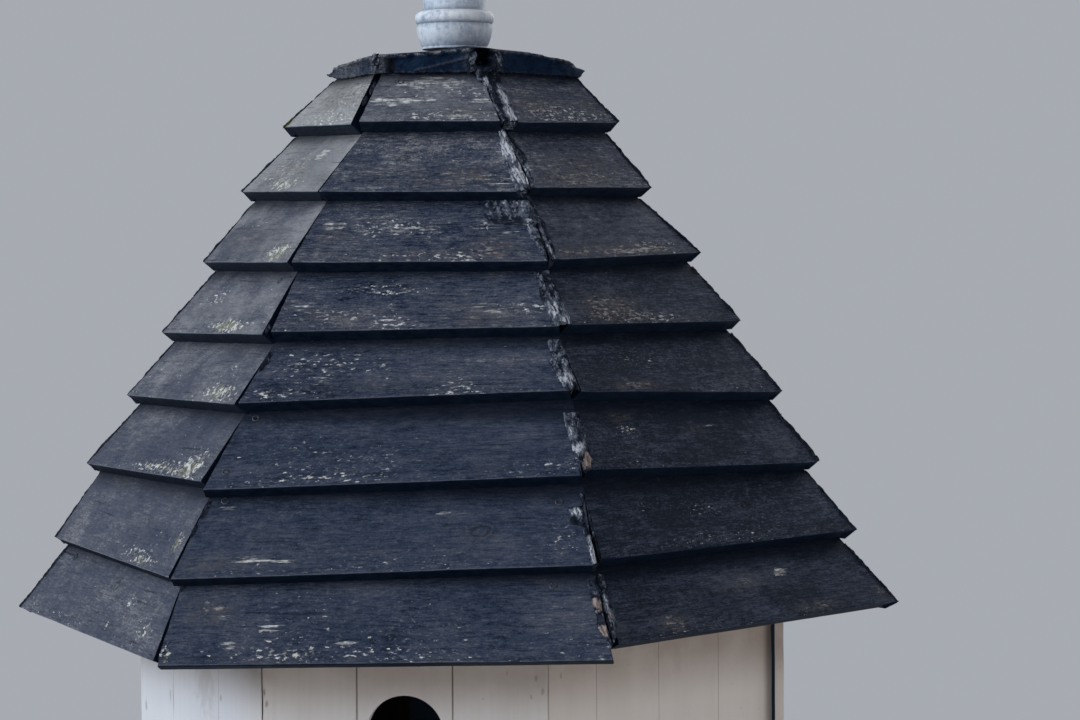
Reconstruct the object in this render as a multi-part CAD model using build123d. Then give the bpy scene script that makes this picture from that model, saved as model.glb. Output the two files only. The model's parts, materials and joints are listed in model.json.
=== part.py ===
from build123d import *
import math
import os

# Timber dovecote on a post. Millimetres, +Z up, front with the upper pop hole faces -Y.
# The post stands in the ground: its foot is at Z = 0 on the origin.

# Heights: the eave above the ground, and what hangs below it or rises above it
EAVE = 1330.0
BODY_DROP = 430.0
FLOOR_UNDERSIDE = EAVE - BODY_DROP
FLOOR_THICK = 24.0
WALL_INTO_ROOF = 105.0
WALL_TOP = EAVE + WALL_INTO_ROOF

# Plan of the white body: three boards wide in front, nearly four on the slanting sides
BODY_HALF_SPAN = 275.0
BODY_FRONT = 228.0
BODY_REACH = 234.0
WALL_THICK = 12.0
CORNER_GAP = 0.6
CORNER_POST = 30.0
PLATE_DEEP = 30.0
PLATE_WIDE = 30.0
FLOOR_NOSING = 22.0
NOSING_ROUND = 9.0

# Pop holes and the alighting ledges under them
HOLE_RADIUS = 31.0
HOLE_HEIGHT = 92.0
HOLE_UNDER_EAVE = 43.0
UPPER_HOLE_TOP = EAVE - HOLE_UNDER_EAVE
TIER = 200.0
LEDGE_RADIUS = 42.0
LEDGE_THICK = 12.0
LEDGE_ROUND = 3.0

# Roof: planks lapped like clapboard over six hip rafters.
# The lower outer arris of each course is given from the top down: its half span as a share
# of the eave's, and its height over the eave. Together they bow the roof out a little.
EAVE_HALF_SPAN = 383.0
EAVE_FRONT = 361.0
PLANK = 12.6
LAP = 12.0
HIP_GAP = 4.0
COURSE_SPREAD = [0.376, 0.465, 0.561, 0.653, 0.742, 0.828, 0.906, 1.0]
COURSE_RISES = [412.0, 356.0, 298.0, 242.0, 186.0, 126.0, 64.0, 0.0]
RAFTER_WIDE = 26.0
RAFTER_DEEP = 46.0
KING_HALF_SPAN = 50.0
KING_DROP = 62.0
FILLET_FROM_BUTT = 8.0
FILLET_DEEP = 18.0

# Low hexagonal cap and the finial on it
CAP_HALF_SPAN = 110.0
CAP_OVERHANG = 7.0
CAP_OFFSET = 6.0
CAP_RISE = 451.0
CAP_FASCIA = 19.0
CAP_PITCH_RISE = 6.0
FELT = 2.5
FINIAL_SEAT = 34.0
FINIAL_OFFSET = 6.5
CUP_FOOT = 27.0
CUP_WAIST = 30.9
CUP_WAIST_HEIGHT = 9.4
CUP_LIP = 31.9
BEAD_FOOT_HEIGHT = 21.0
BEAD_RADIUS = 33.6
BEAD_HEIGHT = 26.5
BEAD_TOP = 30.6
CUP_HEIGHT = 32.5
NECK_RADIUS = 26.7
NECK_HEIGHT = 14.0
BALL_RADIUS = 45.0

# Post and its shaped brackets
POST = 100.0
POST_CHAMFER = 8.0
BRACKET_REACH = 150.0
BRACKET_DROP = 190.0
BRACKET_THICK = 34.0
BRACKET_TOE = 26.0
BRACKET_HEEL = 16.0
BELLY_OUT = 52.0
BELLY_DOWN = 74.0

# The six faces of the tower in order, with the corner where each begins
FACES = ["front_left", "front", "front_right", "back_right", "back", "back_left"]
UPPER_HOLE_FACES = ["front", "back_right", "back_left"]
LOWER_HOLE_FACES = ["front_right", "back", "front_left"]
OPEN_HIP = 1


def hexagon(half_span, front, reach):
    """Six plan corners, from the left one and counter-clockwise through the front."""
    half = front / 2
    return [
        Vector(-half_span, 0),
        Vector(-half, -reach),
        Vector(half, -reach),
        Vector(half_span, 0),
        Vector(half, reach),
        Vector(-half, reach),
    ]


def prism(corners, bottom, top):
    face = make_face(Polyline(*corners, close=True))
    return Pos(0, 0, bottom) * extrude(face, amount=top - bottom)


def outward(corners, index):
    """Horizontal unit normal of a face and its distance from the axis."""
    start = corners[index]
    run = (corners[(index + 1) % 6] - start).normalized()
    normal = Vector(run.Y, -run.X)
    return normal, start.dot(normal)


def sector(corners, index, gap):
    """Tall wedge between the two hips of one face, drawn back from both by half the gap."""
    start = corners[index] * 4
    end = corners[(index + 1) % 6] * 4
    wedge = make_face(Polyline(Vector(0, 0), start, end, close=True))
    return extrude(offset(wedge, amount=-gap / 2), amount=2200)


def along_face(points, normal):
    """Long bar whose cross section is given as distance from the axis and height."""
    plane = Plane(origin=(0, 0, 0), x_dir=normal, z_dir=normal.cross(Vector(0, 0, 1)))
    face = make_face(plane * Polyline(*points, close=True))
    return extrude(face, amount=400, both=True)


def save(node, solids):
    shapes = list(solids)
    for shape in shapes:
        shape.label = node
    result = shapes[0] if len(shapes) == 1 else Compound(label=node, children=shapes)
    export_step(result, "parts/" + node + ".step")


def one(shape):
    """The single solid of a result."""
    return shape.solids()[0]


body = hexagon(BODY_HALF_SPAN, BODY_FRONT, BODY_REACH)
# Every roof face keeps the same distance from the axis, so all planks have one section.
EAVE_REACH = math.sqrt(EAVE_HALF_SPAN**2 - (EAVE_HALF_SPAN - EAVE_FRONT / 2) ** 2)
REACH_RATIO = EAVE_REACH / EAVE_HALF_SPAN


def roof_hexagon(half_span):
    """Plan of the roof at some half span, similar to the eave."""
    scale = half_span / EAVE_HALF_SPAN
    return hexagon(half_span, EAVE_FRONT * scale, EAVE_REACH * scale)


eave = roof_hexagon(EAVE_HALF_SPAN)
os.makedirs("parts", exist_ok=True)

# Post and brackets
post = Box(POST, POST, FLOOR_UNDERSIDE, align=(Align.CENTER, Align.CENTER, Align.MIN))
post = chamfer(post.edges().filter_by(Axis.Z), POST_CHAMFER)
save("post", [one(post)])

brackets = []
for turn in range(4):
    inner = POST / 2
    outline = Polyline(
        (inner, FLOOR_UNDERSIDE - BRACKET_DROP),
        (inner, FLOOR_UNDERSIDE),
        (inner + BRACKET_REACH, FLOOR_UNDERSIDE),
        (inner + BRACKET_REACH, FLOOR_UNDERSIDE - BRACKET_TOE),
    )
    belly = ThreePointArc(
        (inner + BRACKET_REACH, FLOOR_UNDERSIDE - BRACKET_TOE),
        (inner + BELLY_OUT, FLOOR_UNDERSIDE - BELLY_DOWN),
        (inner + BRACKET_HEEL, FLOOR_UNDERSIDE - BRACKET_DROP),
    )
    foot = Line(
        (inner + BRACKET_HEEL, FLOOR_UNDERSIDE - BRACKET_DROP),
        (inner, FLOOR_UNDERSIDE - BRACKET_DROP),
    )
    profile = Plane.XZ * make_face([*outline.edges(), belly.edge(), foot.edge()])
    bracket = extrude(profile, amount=BRACKET_THICK / 2, both=True)
    brackets.append(one(Rot(0, 0, 90 * turn) * bracket))
save("post_brackets", brackets)

# Floor with a rounded nosing all round
nosing = make_face(Polyline(*body, close=True))
floor = extrude(offset(nosing, amount=FLOOR_NOSING, kind=Kind.INTERSECTION), amount=FLOOR_THICK)
floor = fillet(floor.faces().sort_by(Axis.Z)[-1].edges(), NOSING_ROUND)
save("floor_board", [one(Pos(0, 0, FLOOR_UNDERSIDE) * floor)])
floor_top = FLOOR_UNDERSIDE + FLOOR_THICK


# Six walls with arched pop holes on alternate faces of each tier
def pop_hole(normal, top):
    """Round-headed cutter through the wall, as wide as it is under the spring of the arch."""
    plane = Plane(origin=(0, 0, top), x_dir=Vector(0, 0, 1).cross(normal), z_dir=normal)
    head = Pos(0, -HOLE_RADIUS) * Circle(HOLE_RADIUS)
    straight = HOLE_HEIGHT - HOLE_RADIUS
    legs = Pos(0, -HOLE_RADIUS - straight / 2) * Rectangle(2 * HOLE_RADIUS, straight)
    return extrude(plane * (head + legs), amount=400)


def face_middle(index):
    """Plan point at the middle of a wall's outer face."""
    return (body[index] + body[(index + 1) % 6]) * 0.5


upper_ledges = []
lower_ledges = []
for index, face_name in enumerate(FACES):
    normal, reach = outward(body, index)
    rectangle = [
        (reach - WALL_THICK, floor_top),
        (reach, floor_top),
        (reach, WALL_TOP),
        (reach - WALL_THICK, WALL_TOP),
    ]
    wall = along_face(rectangle, normal) & sector(body, index, CORNER_GAP)
    hole_top = UPPER_HOLE_TOP if face_name in UPPER_HOLE_FACES else UPPER_HOLE_TOP - TIER
    middle = face_middle(index)
    slide = middle - normal * middle.dot(normal)
    cutter = Pos(slide.X, slide.Y, 0) * pop_hole(normal, hole_top)
    save(face_name + "_wall", [one(wall - cutter)])

    sill = hole_top - HOLE_HEIGHT
    turn = math.degrees(math.atan2(normal.Y, normal.X))
    shelf = Circle(LEDGE_RADIUS) & Pos(LEDGE_RADIUS, 0) * Rectangle(2 * LEDGE_RADIUS, 2 * LEDGE_RADIUS)
    ledge = extrude(shelf, amount=LEDGE_THICK)
    ledge = fillet(ledge.faces().sort_by(Axis.Z)[-1].edges().filter_by(GeomType.CIRCLE), LEDGE_ROUND)
    placed = one(Pos(middle.X, middle.Y, sill - LEDGE_THICK) * Rot(0, 0, turn) * ledge)
    if face_name in UPPER_HOLE_FACES:
        upper_ledges.append(placed)
    else:
        lower_ledges.append(placed)
save("upper_ledges", upper_ledges)
save("lower_ledges", lower_ledges)

# Corner posts inside the walls, and the head plates that tie the wall tops
lining = []
for index in range(6):
    normal, reach = outward(body, index)
    before, before_reach = outward(body, (index - 1) % 6)
    # The inner corner lies where the two inner wall faces meet.
    determinant = before.X * normal.Y - before.Y * normal.X
    near = reach - WALL_THICK
    far = before_reach - WALL_THICK
    lining.append(
        Vector(
            (far * normal.Y - near * before.Y) / determinant,
            (near * before.X - far * normal.X) / determinant,
        )
    )

corner_posts = []
head_plates = []
for index in range(6):
    corner = lining[index]
    onward = (lining[(index + 1) % 6] - corner).normalized() * CORNER_POST
    back = (lining[index - 1] - corner).normalized() * CORNER_POST
    kite = [corner, corner + onward, corner + (onward + back) * 0.85, corner + back]
    corner_posts.append(one(prism(kite, floor_top, WALL_TOP - PLATE_DEEP)))

    normal, reach = outward(body, index)
    outer = reach - WALL_THICK
    section = [
        (outer - PLATE_WIDE, WALL_TOP - PLATE_DEEP),
        (outer, WALL_TOP - PLATE_DEEP),
        (outer, WALL_TOP),
        (outer - PLATE_WIDE, WALL_TOP),
    ]
    head_plates.append(one(along_face(section, normal) & sector(lining, index, CORNER_GAP)))
save("corner_posts", corner_posts)
save("head_plates", head_plates)


# Roof planks, each as a cross section in distance from the axis and height.
# A plank leans so that its face passes under the inner edge of the butt above.
arrises = []
for spread, rise in zip(COURSE_SPREAD, COURSE_RISES):
    arrises.append(Vector(spread * EAVE_REACH, EAVE + rise))

cap_underside = EAVE + CAP_RISE
under_cap = Vector((CAP_HALF_SPAN - CAP_OVERHANG) * REACH_RATIO, cap_underside)
sections = []
seats = []
above = None
for arris in arrises:
    if above is None:
        meet = under_cap
        slope = math.atan2(meet.Y - arris.Y, arris.X - meet.X)
    else:
        meet = above["butt"]
        slope = math.atan2(meet.Y - arris.Y, arris.X - meet.X)
    rise_along = Vector(-math.cos(slope), math.sin(slope))
    inward = Vector(-math.sin(slope), -math.cos(slope)) * PLANK
    butt = arris + inward
    if above is None:
        seat = meet - Vector(PLANK / math.sin(slope), 0)
        outline = [arris, meet, seat, butt]
    else:
        length = (meet - arris).length + LAP
        seat = butt + rise_along * length
        tip = meet + above["rise"] * LAP
        outline = [arris, meet, tip, seat, butt]
    sections.append(outline)
    seats.append(seat)
    above = {"butt": butt, "rise": rise_along}

for course, outline in enumerate(sections):
    planks = []
    for index in range(6):
        normal, _ = outward(eave, index)
        plank = along_face([(p.X, p.Y) for p in outline], normal) & sector(eave, index, HIP_GAP)
        planks.append(one(plank))
    save("roof_course_" + str(course + 1), planks)

# The space under the planks: hexagons through the upper back edges of all courses
tail_run = (seats[-1] - seats[-2]).normalized()
tail = seats[-1] + tail_run * ((seats[-1].Y - EAVE - 2) / -tail_run.Y)
rings = seats + [tail]
core = None
for upper, lower in zip(rings, rings[1:]):
    faces = []
    for ring in (lower, upper):
        corners = roof_hexagon(ring.X / REACH_RATIO)
        faces.append(Pos(0, 0, ring.Y) * make_face(Polyline(*corners, close=True)))
    frustum = loft(faces, ruled=True)
    core = frustum if core is None else core + frustum

# Tilting fillets kick the eave planks out by a plank's thickness
fillets = []
eave_butt = sections[-1][-1]
eave_seat = seats[-1]
lean = (eave_seat - eave_butt).normalized()
for index in range(6):
    normal, _ = outward(eave, index)
    low = eave_butt + lean * FILLET_FROM_BUTT
    high = low + lean * FILLET_DEEP
    drop = (tail - eave_seat).normalized()
    high_in = eave_seat + drop * ((eave_seat.Y - high.Y) / -drop.Y)
    low_in = eave_seat + drop * ((eave_seat.Y - low.Y) / -drop.Y)
    outline = [(p.X, p.Y) for p in (low, high, high_in, low_in)]
    fillets.append(one(along_face(outline, normal) & sector(eave, index, HIP_GAP)))
save("tilting_fillets", fillets)

# Hip rafters, backed to the planks, notched over the wall corners and butted on a king block
king = prism(roof_hexagon(KING_HALF_SPAN), cap_underside - KING_DROP, cap_underside)
save("king_block", [one(king)])

body_block = prism(body, floor_top, WALL_TOP)
rafters = []
for corner in eave:
    radius = corner.length
    direction = corner.normalized()
    hip = [(seat.X / EAVE_REACH * radius, seat.Y) for seat in rings]
    inner = [(r - RAFTER_DEEP, z) for r, z in reversed(hip)]
    outer = [(r + 20, z) for r, z in hip]
    outline = outer + inner
    plane = Plane(origin=(0, 0, 0), x_dir=direction, z_dir=direction.cross(Vector(0, 0, 1)))
    blade = extrude(make_face(plane * Polyline(*outline, close=True)), amount=RAFTER_WIDE / 2, both=True)
    rafter = (blade & core) - body_block - king
    rafters.append(max(rafter.solids(), key=lambda solid: solid.volume))
save("hip_rafters", rafters)

# Filler packed down the hips; the one at the front left is left open
HIP_NAMES = ["left", "front_left", "front_right", "right", "back_right", "back_left"]
for index, corner in enumerate(eave):
    if index == OPEN_HIP:
        continue
    radius = corner.length
    direction = corner.normalized()
    plane = Plane(origin=(0, 0, 0), x_dir=direction, z_dir=direction.cross(Vector(0, 0, 1)))
    strip = None
    for outline in sections:
        points = [(p.X / EAVE_REACH * radius, p.Y) for p in outline]
        piece = extrude(make_face(plane * Polyline(*points, close=True)), amount=HIP_GAP / 2, both=True)
        strip = piece if strip is None else strip + piece
    save("hip_filler_" + HIP_NAMES[index], [one(strip)])


# Low cap: a board with a sheet of felt dressed over it
def low_pyramid(half_span, fascia, extra):
    """Hexagonal block with a straight fascia and a shallow pitched top."""
    base = prism(roof_hexagon(half_span), cap_underside, cap_underside + fascia)
    edge = Pos(0, 0, cap_underside + fascia) * make_face(Polyline(*roof_hexagon(half_span), close=True))
    flat = roof_hexagon(FINIAL_SEAT / REACH_RATIO)
    crown = Pos(0, 0, cap_underside + fascia + extra) * make_face(Polyline(*flat, close=True))
    return Pos(CAP_OFFSET, 0, 0) * (base + loft([edge, crown], ruled=True))


cap_board = low_pyramid(CAP_HALF_SPAN - FELT, CAP_FASCIA - FELT, CAP_PITCH_RISE)
cap_cover = low_pyramid(CAP_HALF_SPAN, CAP_FASCIA, CAP_PITCH_RISE) - cap_board
save("cap_board", [one(cap_board)])
save("cap_felt", [one(cap_cover)])

# Finial: a bowl-shaped cup with a bead round its lip, and a ball on a neck
seat_height = cap_underside + CAP_FASCIA + CAP_PITCH_RISE
bowl = ThreePointArc((CUP_FOOT, 0), (CUP_WAIST, CUP_WAIST_HEIGHT), (CUP_LIP, BEAD_FOOT_HEIGHT))
bead = ThreePointArc((CUP_LIP, BEAD_FOOT_HEIGHT), (BEAD_RADIUS, BEAD_HEIGHT), (BEAD_TOP, CUP_HEIGHT))
rim = Polyline((BEAD_TOP, CUP_HEIGHT), (0, CUP_HEIGHT), (0, 0), (CUP_FOOT, 0))
cup_face = Plane.XZ * make_face([bowl.edge(), bead.edge(), *rim.edges()])
cup = Pos(FINIAL_OFFSET, 0, seat_height) * revolve(cup_face, axis=Axis.Z)
save("finial_cup", [one(cup)])

ball_rise = NECK_HEIGHT + math.sqrt(BALL_RADIUS**2 - NECK_RADIUS**2)
neck = Cylinder(NECK_RADIUS, ball_rise, align=(Align.CENTER, Align.CENTER, Align.MIN))
ball = neck + Pos(0, 0, ball_rise) * Sphere(BALL_RADIUS)
save("finial_ball", [one(Pos(FINIAL_OFFSET, 0, seat_height + CUP_HEIGHT) * ball)])
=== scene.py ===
import json
import math
import random
import bpy
import bmesh
from mathutils import Matrix, Vector, noise


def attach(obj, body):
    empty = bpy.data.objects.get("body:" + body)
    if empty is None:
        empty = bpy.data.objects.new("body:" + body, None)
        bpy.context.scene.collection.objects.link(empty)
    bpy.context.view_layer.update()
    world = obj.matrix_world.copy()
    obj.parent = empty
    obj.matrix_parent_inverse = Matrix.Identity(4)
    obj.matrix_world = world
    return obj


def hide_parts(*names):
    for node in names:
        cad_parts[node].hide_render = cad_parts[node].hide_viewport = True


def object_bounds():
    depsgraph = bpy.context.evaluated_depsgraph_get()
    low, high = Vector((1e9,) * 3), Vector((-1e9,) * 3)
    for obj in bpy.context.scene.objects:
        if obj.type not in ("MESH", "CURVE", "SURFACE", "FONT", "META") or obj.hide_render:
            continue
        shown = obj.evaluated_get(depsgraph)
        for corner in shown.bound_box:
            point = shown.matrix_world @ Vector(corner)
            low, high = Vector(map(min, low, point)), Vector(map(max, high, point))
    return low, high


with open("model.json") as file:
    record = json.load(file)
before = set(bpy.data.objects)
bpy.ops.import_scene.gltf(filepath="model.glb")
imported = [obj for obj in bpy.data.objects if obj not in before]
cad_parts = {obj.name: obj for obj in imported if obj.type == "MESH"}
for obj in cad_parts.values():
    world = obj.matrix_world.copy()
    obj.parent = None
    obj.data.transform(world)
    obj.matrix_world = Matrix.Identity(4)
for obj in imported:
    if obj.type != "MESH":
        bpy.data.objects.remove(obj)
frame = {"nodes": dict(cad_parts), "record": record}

CAD_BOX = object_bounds()
MM = 0.001

# The roof as the construction has it, in metres
EAVE = 1.330
EAVE_HALF_SPAN = 0.383
EAVE_FRONT = 0.361
EAVE_REACH = math.sqrt(EAVE_HALF_SPAN**2 - (EAVE_HALF_SPAN - EAVE_FRONT / 2) ** 2)
SPREAD = [0.376, 0.465, 0.561, 0.653, 0.742, 0.828, 0.906, 1.0]
RISES = [0.412, 0.356, 0.298, 0.242, 0.186, 0.126, 0.064, 0.0]
PLANK = 0.0126
CAP_RISE = 0.451
CAP_HALF_SPAN = 0.103
UNDER_CAP = (CAP_HALF_SPAN / EAVE_HALF_SPAN * EAVE_REACH, CAP_RISE)

# The walls
BODY_HALF_SPAN = 0.275
BODY_FRONT = 0.228
BODY_REACH = 0.234
WALL = 0.012
FLOOR_TOP = 0.924
WALL_TOP = 1.435
BOARD = 0.076
HOLE_RADIUS = 0.031
HOLE_HEIGHT = 0.092
UPPER_HOLE_TOP = 1.287
TIER = 0.200
BODY = [
    (-BODY_HALF_SPAN, 0), (-BODY_FRONT / 2, -BODY_REACH), (BODY_FRONT / 2, -BODY_REACH),
    (BODY_HALF_SPAN, 0), (BODY_FRONT / 2, BODY_REACH), (-BODY_FRONT / 2, BODY_REACH),
]
# Knots and smudges that show through the paint: wall, mm along it, height, radius in mm, strength. The wide mark
# high on the front left wall is painted shade under the eave.
WALL_MARKS = [
    (0, 77, 1261, 3.6, 0.45), (0, 17, 1248, 3, 0.45), (0, 195, 1274, 2.2, 0.5), (0, 160, 1298, 30, 0.22),
    (1, 2, 1288, 2.4, 0.9), (1, 4, 1279, 1.8, 0.7), (1, 195, 1305, 1.3, 0.6), (1, 218, 1301, 1.5, 0.5),
    (1, 223, 1292, 1.8, 0.5), (1, 214, 1287, 1.2, 0.5), (2, 155, 1299, 8, 0.14), (2, 14, 1302, 1.4, 0.5),
    (1, 60, 1120, 3, 0.4), (2, 120, 1050, 3, 0.4), (3, 90, 1180, 3, 0.4), (4, 70, 1080, 3, 0.4),
    (5, 190, 1230, 3, 0.4),
]

# How far the two lower corners of each hand-cut plank stray from the drawn ones, the left one sideways and
# upwards and then the right one, in mm.
# A row is a course from the top down, and its six planks go round from the front left one.
STRAY = [
    [(1, 1, 7, -3), (15, -1, -5, -2), (9, -3, 3, 1), (2, 0, -2, 1), (-4, 2, 3, -2), (1, -1, 0, 0)],
    [(-3, 2, 1, -2), (3, -2, 5, -4), (10, -1, -4, 2), (-4, 1, 3, -2), (1, -1, -2, 1), (-4, 2, -2, 1)],
    [(0, 0, -1, -1), (3, -1, 8, -2), (14, -1, 0, 5), (1, 4, -3, 2), (-5, 3, 3, 0), (5, -1, 0, 1)],
    [(-2, -4, 1, -2), (9, 0, 4, 3), (11, 4, -1, 3), (-2, 3, 2, 2), (0, 3, -4, -2), (-2, -3, -1, -3)],
    [(0, -2, 1, 0), (5, 1, -1, 10), (7, 9, -1, -1), (-1, 0, -3, -2), (-5, -1, 2, 3), (4, 1, 1, -2)],
    [(-3, -1, -5, 1), (-1, -5, -4, 6), (2, 10, -4, 0), (-3, 1, 2, 4), (0, 5, -3, 2), (-1, 3, -3, 0)],
    [(-2, -3, -9, -9), (-6, -10, -6, 2), (-1, 5, -3, 5), (-3, 4, -4, -1), (-6, 0, 4, -3), (6, -4, -2, -2)],
    [(1, 0, 2.5, -6), (6.5, -9, -5, -2), (-2, 8, -4, 9), (-4, 8, -2, 3), (-3, 2, 3, -2), (4, -3, 1, 0)],
]
# Sideways stray of the six hips where they meet the cap, from the left one
RING_STRAY = [4, 3, -4, 8, 3, -2]

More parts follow.
